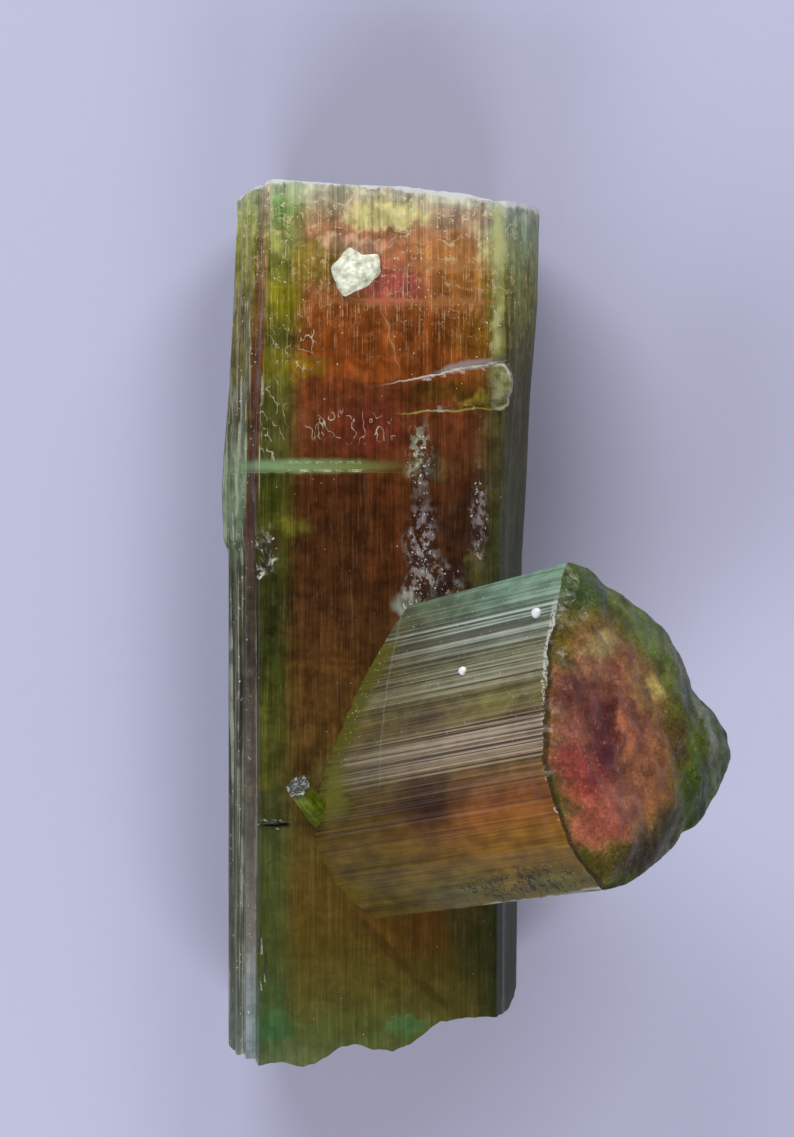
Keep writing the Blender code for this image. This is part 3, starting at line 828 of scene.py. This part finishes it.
# The pale round end of the ledge: (x, y, half width, half height)
LEDGE_END = (5.72, 11.15, 0.62, 1.08)
LEDGE_END_COLOURS = [(0.3, 160, 160, 30), (0.7, 460, 460, 260)]
# (y, colour) of the silvery painted highlights in the pits
PIT_HIGHLIGHT_COLOURS = [(1, 400, 390, 340), (5, 320, 260, 280), (7.5, 400, 420, 310)]
# Patches of the front etched in fine loops: (x, y, half width, half height)
ETCHED = [(-3.9, 13.3, 1.3, 1.5), (-1.3, 9.2, 2.4, 0.8), (-5, 9.6, 0.7, 2)]
# From this y up, the strips along the left edge lean right by so much a millimetre
SLANT_FROM = 4
EDGE_SLANT = 0.045
# Height at which marks on the front are centred
FRONT_LEVEL = 9.6


def lay(paint, place, level, reach, edge, rows):
    """Covers with zones of the front or an end, at a level of the third axis and reaching so far along it."""
    for x, y, half_x, half_y, strength, tint, *turn in rows:
        paint.cover(tint, paint.patch(place, (x, y, level), (half_x, half_y, reach), edge, strength, *turn))


def front_patches(paint, place, rows, edge):
    masks = [paint.patch(place, (*row[:2], FRONT_LEVEL), (*row[2:], 1), edge) for row in rows]
    return paint.either(*masks)


def large_paint():
    paint = Paint("prism_tourmaline")
    rise, band, both, cover, ramp = paint.rise, paint.band, paint.both, paint.cover, paint.ramp
    clouds, shift = paint.clouds((1.3, 0.9, 1.3))
    near = paint.bent(shift, (0.3, 0.25, 0.3))
    bent = paint.bent(shift, (0.7, 0.35, 0.7))
    loose = paint.bent(shift, (2.2, 1.7, 2.2))
    x, y, _ = paint.split(paint.bent(shift, (0.14, 0.9, 0.14)))
    true_x, true_y, true_z = paint.split(paint.place)
    slanted = paint.number("MAXIMUM", paint.number("SUBTRACT", y, SLANT_FROM), 0)
    left_x = paint.number("MULTIPLY_ADD", slanted, -EDGE_SLANT, x)
    low, high = TOP_SPAN
    top = ramp(true_x, [(place, (height - low) / (high - low)) for place, height in TOP])
    y = paint.number("ADD", y, paint.number("MULTIPLY_ADD", top, low - high, TOP_HEIGHT - low))
    broad = paint.noise((1.5, 0.05, 1.5))
    streaks = paint.noise((7, 0.12, 7), detail=2)
    hairs = paint.noise((22, 0.5, 22))
    wisps = paint.noise((0.6, 2.8, 0.6), loose)
    lumps = paint.noise((3, 2, 3), detail=3, roughness=0.6)
    glints = paint.noise((8, 6, 8))
    front = rise(true_z, 8.7, 9.1)

    paint.colour = ramp(y, CORE)
    cover(ramp(y, LEFT_EDGE), rise(left_x, -3.6, -4.9))
    cover(ramp(y, RIGHT_EDGE), rise(x, 4, 5.9))
    lay(paint, loose, 8, 7, (1.3, 0.5), ZONES)
    # The strip's pale low end is painted reflection
    cover(ramp(y, STRIP), band(left_x, -6.5, -5.83, 0.06))
    cover(ramp(y, FLANK_COLOURS), rise(left_x, -6.38, -6.55))
    noises = [(broad, 0.86, 1.16), (streaks, 0.82, 1.24), (clouds, 0.72, 1.3), (hairs, 0.88, 1.14)]
    noises.append((wisps, 0.85, 1.18))
    paint.shade(rise(y, 7, 16, GAIN, TOP_GAIN), noises, rise(y, -14, -4, 0.55, 1))

    # Hair-fine light streaks near the top, and fine feathers that lie across the prism
    cover((700, 470, 260), rise(hairs, 0.56, 0.66), rise(y, 11.5, 15.5, 0.06, 0.6), rise(lumps, 0.4, 0.6))
    feathers = both(contours(paint, wisps, 0.035), rise(lumps, 0.45, 0.6))
    cover(ramp(y, FEATHERS), feathers, rise(y, 12, 17, 0.12, 0.75))

    # Light lines down the flank and by the strip, which are painted reflections, light lines down the right
    # side and on a plate there, and a painted highlight along the top
    # The light lines on the flank and by the strip are painted reflections
    on_flank = both(rise(left_x, -6.3, -6.6), rise(true_z, 3.5, 6.5))
    on_flank = paint.either(on_flank, band(left_x, -5.86, -5.74, 0.04))
    cover((480, 500, 380), on_flank, rise(streaks, 0.52, 0.62), rise(clouds, 0.35, 0.55, 0.25, 0.8))
    cover((110, 145, 45), rise(streaks, 0.52, 0.64, 0, 0.4), rise(true_x, 5.2, 6.2))
    plate_x = paint.number("ADD", true_x, rise(lumps, 0.3, 0.7, -0.1, 0.1))
    plate = both(band(plate_x, 5.46, 5.92, 0.2), band(true_y, 12.7, 19.7, 0.5), front)
    cover((480, 480, 200), plate, rise(clouds, 0.35, 0.6, 0.4, 0.9))
    # A thin painted highlight along the top edge
    cover((740, 760, 760), rise(y, 20.5, 20.66), rise(lumps, 0.25, 0.5, 0.5))

    # The mint seam, the ledge's round end, and other pale marks
    sx, sy, half_x, half_y = SEAM
    seam = paint.patch(near, (sx, sy, 9), (half_x, half_y, 9), (1.25, 0.35), 0.85)
    seam_line = paint.patch(near, (sx, sy - 0.3, 9), (half_x, 0.05, 9), (1.3, 0.5), 0.5)
    cover(ramp(true_x, SEAM_COLOURS), paint.either(seam, seam_line))
    out = paint.away(bent, (*LEDGE_END[:2], FRONT_LEVEL), (*LEDGE_END[2:], 3))
    cover(ramp(lumps, LEDGE_END_COLOURS), rise(out, 1.1, 0.95), rise(true_x, 5, 5.9, 0.1, 0.75), front)
    cover((600, 600, 440), band(out, 0.9, 1.04, 0.06, 0.8), rise(true_x, 5.3, 5.8), front)
    # These marks include painted highlights along the ledge's upper edge and at the chips by the left edge
    lay(paint, bent, FRONT_LEVEL, 1.2, (1.25, 0.6), MARKS)
    loops = contours(paint, paint.noise((1.6, 1.15, 1.6), bent), 0.017)
    etched = front_patches(paint, bent, ETCHED, (1.15, 0.75))
    cover((580, 540, 380), etched, loops, rise(lumps, 0.4, 0.5, 0, 0.8))

    # Pitted patches: plum hollows, silvery painted highlights and bright specks of painted glints
    pitted = front_patches(paint, bent, PITTED, (1.35, 0.4))
    cover((60, 26, 22), pitted, rise(clouds, 0.58, 0.42, 0, 0.75))
    # Pale silvery patches in the pits are painted highlights
    pit_highlights = both(pitted, rise(lumps, 0.47, 0.58, 0, 0.85), rise(clouds, 0.4, 0.53, 0.25))
    cover(ramp(true_y, PIT_HIGHLIGHT_COLOURS), pit_highlights)
    # Bright specks are painted glints, most in the pits, also near the top and by the left flank
    busy = paint.either(pitted, rise(y, 8, 17, 0, 0.55), rise(left_x, -5.6, -6.4, 0, 0.7))
    glint_specks = rise(paint.number("MULTIPLY_ADD", busy, 0.13, glints), 0.79, 0.84)
    cover((780, 760, 700), glint_specks, rise(true_z, 5, 7))

    # Broken ends: a green rim round an orange and pink core
    wander = paint.number("ADD", paint.depth_in(), rise(clouds, 0.2, 0.8, -0.7, 0.7))
    outside, paint.colour = paint.colour, ramp(wander, END_ZONES)
    paint.shade(1, [(lumps, 0.7, 1.25)])
    paint.colour = paint.mix(rise(paint.depth_in(), 0.02, 0.12, 0, 0.85), outside, paint.colour)

    # Light marks and steep sides are duller
    roughness = rise(streaks, 0.3, 0.7, 0.08, 0.2)
    duller = [(paint.colour, 0.2, 0.5, 0.3), (true_z, 8.6, 7.6, 0.22), (true_x, 5.8, 6.3, 0.25)]
    for value, low, high, more in duller:
        roughness = paint.number("ADD", roughness, rise(value, low, high, 0, more))
    return paint.finish(roughness, [(streaks, 0.008), (hairs, 0.0015)])


# (millimetres in from a broken end's outline, colour)
END_ZONES = [
    (0, 60, 110, 40), (0.9, 90, 130, 30), (1.4, 200, 190, 50), (2, 300, 150, 50), (2.8, 330, 90, 60),
    (4.5, 260, 55, 55),
]
# (v, colour) across the small prism's side near its broken end, and near its root
SIDE_OUTER = [
    (-7, 65, 85, 20), (-6.72, 80, 85, 20), (-6.62, 360, 350, 330), (-6.5, 95, 75, 8), (-5.4, 110, 72, 6),
    (-4.4, 155, 82, 8), (-3.2, 185, 80, 10), (-2.4, 250, 86, 18), (-1.5, 235, 84, 24), (-0.5, 170, 84, 22),
    (-0.1, 120, 75, 30), (0.9, 150, 110, 66), (1.8, 95, 68, 30), (2.2, 145, 112, 34), (3.2, 145, 126, 50),
    (3.6, 175, 170, 95), (4.8, 90, 95, 45), (5.4, 160, 185, 130), (6.6, 155, 235, 160),
    (7.8, 175, 290, 205),
]
SIDE_ROOT = [
    (-7, 60, 36, 4), (-5.6, 66, 46, 6), (-4.6, 90, 62, 6), (-2.2, 90, 52, 6), (-0.4, 76, 50, 8),
    (0, 80, 58, 16), (0.9, 90, 74, 28), (1.8, 84, 64, 20), (2.4, 98, 72, 18), (3.1, 112, 86, 26),
    (3.7, 120, 98, 34), (4.8, 70, 54, 16), (5.5, 104, 82, 32), (6.4, 80, 52, 18), (7.8, 110, 130, 60),
]
SIDE_FAR = [(-7, 60, 60, 20), (-3, 80, 110, 40), (0, 90, 140, 80), (4, 60, 110, 35), (8, 110, 220, 140)]
# (v, how strongly the striations there catch the light)
STRIPES = [
    (-5.5, 0.05), (-3, 0.15), (-1.7, 0.3), (-0.3, 0.35), (-0.1, 0.8), (1.7, 0.9), (1.95, 0.2), (3.2, 0.35),
    (3.5, 0.8), (4.6, 0.75), (4.8, 0.3), (5, 0.6), (6.4, 0.65), (6.7, 0.25),
]
# (v, how much of the surface the broad lines of painted reflection cover)
REFLECTION_LINES = [
    (-0.35, 0), (-0.15, 0.05), (0.08, 0.25), (0.2, 0.8), (0.48, 0.6), (0.62, 0.95), (0.76, 0.2), (1, 0.1),
    (1.2, 0.6), (1.34, 0.4), (1.48, 0.95), (1.64, 0.5), (1.76, 0), (2.1, 0.15), (2.3, 0), (3.3, 0.1),
    (3.48, 0.5), (3.62, 0.9), (3.76, 0.4), (4.1, 0.6), (4.25, 0.35), (4.5, 0.6), (4.66, 0.05), (4.92, 0),
    (5.08, 0.7), (5.22, 0.1), (5.6, 0.2), (5.7, 1), (5.8, 0.15), (6.2, 0.2), (6.3, 1), (6.4, 0),
]
# (v, colour of the painted highlights on the ridges)
RIDGE_HIGHLIGHTS = [
    (-4, 280, 150, 40), (-1.5, 380, 210, 90), (-0.2, 540, 400, 240), (0.45, 600, 480, 330),
    (1.5, 620, 490, 360), (2.2, 380, 310, 130), (3.2, 400, 360, 180), (3.65, 500, 480, 320),
    (4.5, 440, 440, 280), (5.1, 500, 540, 410), (5.7, 620, 700, 570), (6.3, 600, 720, 630),
    (7.5, 340, 480, 380),
]
# Zones on the small prism's side: (v, t, half width, half length, strength, colour)
SIDE_ZONES = [
    (-1.3, -8, 1.7, 2.2, 0.95, (38, 15, 5)), (-3.2, -7.6, 0.9, 1.6, 0.5, (90, 44, 12)),
    (2.5, -7.9, 0.7, 2.2, 0.85, (56, 34, 18)), (4.85, -8, 0.3, 2.6, 0.9, (40, 35, 18)),
    (2.6, -3.9, 0.45, 1.5, 0.7, (155, 140, 24)), (7, -8, 0.9, 2, 0.6, (85, 92, 55)),
    (-6, -2.2, 0.6, 1.6, 0.7, (80, 78, 8)), (-5.6, -8, 0.8, 2, 0.6, (66, 66, 8)),
    (-4.8, -6.8, 0.5, 1.6, 0.6, (130, 92, 10)),
]
# The coloured heart of its broken end: (u, v, half width, half height), and (how far out in those, colour)
HEART = (3.7, 0, 4.5, 5.5)
HEART_COLOURS = [
    (0, 185, 62, 36), (0.55, 190, 68, 36), (0.8, 195, 88, 30), (0.95, 115, 80, 14), (1.08, 75, 78, 8),
    (1.25, 70, 100, 10), (1.45, 45, 62, 4), (2, 36, 60, 14),
]
# Zones on the broken end: (u, v, half width, half height, strength, colour)
FACE_ZONES = [
    (4.6, 3.9, 1.3, 0.6, 0.95, (320, 240, 95)), (2.3, 4.3, 1.1, 0.9, 0.95, (85, 60, 6)),
    (6.8, 1.3, 1.1, 1.5, 0.85, (230, 130, 38)), (7.6, 1.3, 0.6, 0.7, 0.9, (400, 310, 85)),
    (2.5, 1.8, 1.5, 1.4, 0.6, (130, 36, 26)), (3.6, 3, 1, 0.6, 0.7, (260, 125, 60)),
    (1.7, 2.4, 0.8, 0.8, 0.8, (95, 28, 22)), (1.4, 0.8, 0.7, 0.5, 0.8, (260, 88, 60)),
    (1, -0.6, 1.2, 1, 0.85, (130, 22, 20)), (3.1, -0.5, 1.1, 1.8, 0.95, (80, 9, 10)),
    (3.9, 0.9, 0.6, 0.9, 0.8, (70, 14, 12)), (1.5, -1.9, 1.3, 1.1, 0.85, (195, 26, 22)),
    (1.8, -3.7, 2, 1.3, 0.95, (285, 74, 44)), (5.5, -2.2, 1.7, 2.1, 0.7, (190, 70, 26)),
    (3.8, -3.1, 1.1, 0.9, 0.75, (290, 100, 54)), (4.7, -0.2, 0.5, 1, 0.85, (400, 130, 64)),
    (8.1, -1.4, 0.8, 1.5, 0.85, (50, 26, 4)), (9.8, 0.3, 0.9, 1, 0.85, (30, 36, 1)),
    (9, 2, 0.8, 0.8, 0.6, (120, 140, 22)), (9, -4.1, 1.4, 1.6, 0.95, (22, 40, 0.2)),
    (8.4, 3.9, 1.5, 1.4, 0.6, (90, 125, 28)), (10.9, -1.2, 0.6, 1.4, 0.8, (160, 190, 110)),
    (4.8, 6.4, 2.4, 1, 0.9, (30, 56, 12)), (6.6, -4.6, 1.2, 0.8, 0.85, (26, 22, 2)),
    (4.6, -5.9, 3.2, 1.2, 0.95, (20, 12, 1)), (0.9, -5.7, 1.8, 0.8, 0.8, (60, 42, 6)),
]
# Between these heights the green fringe over the foot of the small prism comes in
FRINGE = (10.6, 10.05)


def small_frame(paint):
    """A place in the small prism's directions from the middle of its end, and its ragged noise and shift."""
    local = paint.seen_from(END_ORIGIN, Matrix((ACROSS, UP, OUT)).transposed().to_euler())
    return local, *paint.clouds((1.1, 1.1, 0.7), local)


def side_paint():
    paint = Paint("side_tourmaline")
    rise, band, both, cover, ramp = paint.rise, paint.band, paint.both, paint.cover, paint.ramp
    local, clouds, shift = small_frame(paint)
    soft = paint.bent(shift, (0.5, 0.5, 2), local)
    _, v_soft, t_soft = paint.split(soft)
    true_u, true_v, true_t = paint.split(local)
    broad = paint.noise((1.6, 1.6, 0.05), local)
    fine = paint.noise((0.5, 7.5, 0.006), local, detail=2, roughness=0.6)
    hairs = paint.noise((18, 18, 0.3), local)
    grain = paint.noise((7, 7, 7), local)

    paint.colour = ramp(v_soft, SIDE_ROOT)
    cover(ramp(v_soft, SIDE_OUTER), rise(t_soft, -13, -3))
    cover(ramp(v_soft, SIDE_FAR), rise(true_u, 4, 6.5))
    for v, t, half_v, half_t, strength, tint in SIDE_ZONES:
        cover(tint, paint.patch(soft, (0, v, t), (4, half_v, half_t), (1.4, 0.2), strength))
    paint.shade(GAIN, [(broad, 0.85, 1.2), (clouds, 0.75, 1.3), (hairs, 0.86, 1.16), (fine, 0.9, 1.1)])

    # Broad lines of painted reflection, then striations in groups: painted shade in the grooves and painted
    # highlights on the ridges
    fade = both(rise(clouds, 0.3, 0.6, 0.8), rise(t_soft, -12, -4, 0.45, 1.05))
    ridge_highlights = ramp(true_v, RIDGE_HIGHLIGHTS)
    line_v = paint.number("MULTIPLY_ADD", clouds, 0.08, paint.number("SUBTRACT", true_v, 0.04))
    cover(ridge_highlights, ramp(line_v, REFLECTION_LINES), fade, rise(fine, 0.4, 0.53, 0.22, 0.82))
    # Painted shade in the grooves and painted highlights on the ridges
    group = both(ramp(true_v, STRIPES), fade)
    cover((55, 36, 20), group, rise(fine, 0.47, 0.4))
    cover(ridge_highlights, group, rise(fine, 0.53, 0.59))

    # Where it meets the large prism, and about the stub
    fringe = both(rise(paint.split(paint.place)[2], *FRINGE, 0, 0.85), band(true_v, -0.7, 6.2, 0.4))
    cover((135, 125, 14), fringe)
    cover((500, 500, 220), fringe, rise(grain, 0.66, 0.75))
    cover((180, 175, 30), paint.patch(soft, (0, -0.1, -14.4), (4, 1.3, 1.3), (1.3, 0.5), 0.8))

    # A scratch, glints and dark cracks
    scratch = both(band(true_t, -11.1, -11, 0.06, 0.16), rise(true_v, -1.5, 2))
    glints = both(rise(grain, 0.71, 0.77, 0, 0.8), rise(true_v, -2, 5))
    cover((600, 620, 520), paint.either(scratch, glints))
    curls = paint.noise((1.9, 1.2, 1.9), paint.bent(shift, (2, 2, 1), local))
    cracked = paint.patch(soft, (0, -5.8, -4.2), (4, 1, 5.2), (1.2, 0.5))
    cover((22, 24, 6), contours(paint, curls, 0.045, 0.95), cracked)

    # Pale chips along the broken end's edge on the camera's side
    chipped = rise(true_v, 1.5, 4.5, -0.06, 0.14)
    chips = [(true_t, -0.52, -0.38), (grain, 0.54, 0.62)]
    chips = [rise(paint.number("ADD", value, chipped), low, high) for value, low, high in chips]
    cover((680, 700, 620), rise(true_u, 3.6, 2.6), rise(true_v, -4, -2, 0, 0.9), *chips)
    return paint.finish(rise(broad, 0.3, 0.7, 0.1, 0.2), [(fine, 0.008), (hairs, 0.001), (grain, 0.002)])


def end_paint():
    paint = Paint("end_tourmaline")
    rise, cover = paint.rise, paint.cover
    local, clouds, shift = small_frame(paint)
    ragged = paint.bent(shift, (1.5, 1.5, 1), local)
    curls = paint.noise((1.9, 1.2, 1.9), ragged)
    grain = paint.noise((7, 7, 7), local)
    out = paint.away(ragged, (*HEART[:2], 0), (*HEART[2:], 9))
    paint.colour = paint.ramp(out, HEART_COLOURS)
    lay(paint, ragged, 0, 9, (1.4, 0.3), FACE_ZONES)
    paint.shade(FACE_GAIN, [(curls, 0.82, 1.2), (clouds, 0.72, 1.35), (grain, 0.86, 1.16)])
    fibres = contours(paint, curls, 0.02, 0.5)
    cover((500, 420, 240), fibres, rise(grain, 0.48, 0.6), rise(clouds, 0.42, 0.6))

    # Its edge is darker on the camera's side
    cover((40, 26, 10), rise(paint.depth_in(), 0.3, 0.12, 0, 0.85), rise(paint.split(local)[0], 3.4, 2))
    return paint.finish(rise(grain, 0.3, 0.7, 0.2, 0.45), [(grain, 0.003)])


# (millimetres past the stub's tip, colour) along it; its pale last stop is a painted highlight round the
# tip's rim
STUB_COLOURS = [
    (-2.7, 75, 85, 10), (-1.2, 85, 120, 6), (-0.5, 120, 150, 10), (-0.2, 55, 55, 20), (-0.1, 420, 430, 370),
]
# (noise, colour) of the stub's tip, whose silvery stops are painted highlights, of the crumb and of the beads
TIP_COLOURS = [(0.36, 500, 520, 460), (0.44, 100, 100, 70), (0.54, 50, 50, 30), (0.62, 400, 420, 360)]
# The crumb's darker stops fall where its bumps are low: its own tone with painted shade in its hollows
CRUMB_COLOURS = [(0.3, 260, 280, 180), (0.46, 480, 500, 380), (0.66, 760, 780, 680)]
BEAD_COLOURS = [(0.3, 520, 540, 560), (0.7, 800, 800, 780)]


def stub_paint():
    paint = Paint("stub_tourmaline")
    local = paint.seen_from(STUB_END, (STUB_END - STUB_FOOT).to_track_quat("Z", "Y").to_euler())
    along = paint.split(local)[2]
    streaks = paint.noise((4, 4, 0.6), local, 2)
    lumps = paint.noise((3, 3, 3), local, 3, 0.6)
    uneven = paint.number("MULTIPLY_ADD", lumps, 0.8, paint.number("SUBTRACT", along, 0.4))
    paint.colour = paint.ramp(uneven, STUB_COLOURS)
    paint.shade(GAIN, [(streaks, 0.6, 1.4), (lumps, 0.7, 1.3)])
    # The tip is dark with silvery painted highlights
    paint.cover(paint.ramp(lumps, TIP_COLOURS), paint.rise(along, -0.05, -0.02))
    return paint.finish(paint.rise(streaks, 0.3, 0.7, 0.08, 0.25), [(streaks, 0.01), (lumps, 0.01)])


def crumb_paint():
    paint = Paint("albite", 1.53)
    lumps = paint.noise((2.2, 2.2, 2.2), detail=4, roughness=0.6)
    grain = paint.noise((9, 9, 9), detail=3)
    # Darker where the bumps are low: painted shade in the hollows on top of its own tone
    paint.colour = paint.ramp(lumps, CRUMB_COLOURS)
    paint.shader["Subsurface Weight"].default_value = 0.25
    paint.shader["Subsurface Radius"].default_value = (0.5 * MM, 0.5 * MM, 0.35 * MM)
    paint.shader["Subsurface Scale"].default_value = 1
    return paint.finish(paint.rise(grain, 0.3, 0.7, 0.45, 0.75), [(lumps, 0.1), (grain, 0.04)])


def bead_paint():
    paint = Paint("white_bead", 1.5)
    lumps = paint.noise((5, 5, 5), detail=3)
    paint.colour = paint.ramp(lumps, BEAD_COLOURS)
    return paint.finish(paint.rise(lumps, 0.3, 0.7, 0.2, 0.45), [(lumps, 0.02)])


def floor_paint():
    paint = Paint("backdrop", 1.45)
    soft = paint.noise((0.006, 0.006, 0.006), detail=2)
    grain = paint.noise((1.5, 1.5, 1.5), detail=2)
    paint.colour = paint.ramp(soft, [(0.3, *FLOOR_COLOUR), (0.7, *(share * 1.06 for share in FLOOR_COLOUR))])
    return paint.finish(paint.rise(grain, 0.3, 0.7, 0.75, 0.85), [])


large = large_prism()
small = small_prism()
tip = stub()
large.data.materials.append(large_paint())
small.data.materials.append(side_paint())
small.data.materials.append(end_paint())
tip.data.materials.append(stub_paint())
join(large, [small, tip])
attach(large, "root")
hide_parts("tourmaline")

crumb = albite_crumb()
crumb.data.materials.append(crumb_paint())
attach(crumb, "root")
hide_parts("albite_crumb")

bead_material = bead_paint()
for index, (v, t, radius) in enumerate(BEADS):
    made = bead(f"bead_{index + 1}", v, t, radius, index)
    made.data.materials.append(bead_material)
    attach(made, "root")

floor = bpy.data.meshes.new("floor")
corners = [(-1, -1), (1, -1), (1, 1), (-1, 1)]
corners = [(x * FLOOR_REACH, y * FLOOR_REACH, -FLOOR_GAP * MM) for x, y in corners]
floor.from_pydata(corners, [], [(0, 1, 2, 3)])
floor = solid("floor", floor)
floor.data.materials.append(floor_paint())

camera = bpy.data.objects.new("camera", bpy.data.cameras.new("camera"))
camera.location = Vector(CAMERA) * MM
camera.data.sensor_width = SENSOR
camera.data.lens = SENSOR / (IMAGE_HEIGHT * PIXEL) * (CAMERA[2] - THICKNESS)
camera.data.clip_start = 0.01
bpy.context.scene.collection.objects.link(camera)
bpy.context.scene.camera = camera

for name, place, aim, width, height, power, colour in LAMPS:
    lamp = bpy.data.objects.new(name, bpy.data.lights.new(name, "AREA"))
    lamp.data.shape = "RECTANGLE"
    lamp.data.size = width * MM
    lamp.data.size_y = height * MM
    lamp.data.energy = power
    lamp.data.color = full(colour)[:3]
    lamp.location = Vector(place) * MM
    lamp.rotation_euler = (Vector(aim) - Vector(place)).to_track_quat("-Z", "Y").to_euler()
    bpy.context.scene.collection.objects.link(lamp)

bpy.context.scene.view_settings.view_transform = "Standard"
world = bpy.data.worlds.new("studio")
world.use_nodes = True
sky = Paint("sky", tree=world.node_tree)
way = sky.split(sky.add("ShaderNodeTexCoord", out="Generated"))[2]
sky.feed(world.node_tree.nodes["Background"].inputs["Color"], sky.ramp(way, SKY))
bpy.context.scene.world = world
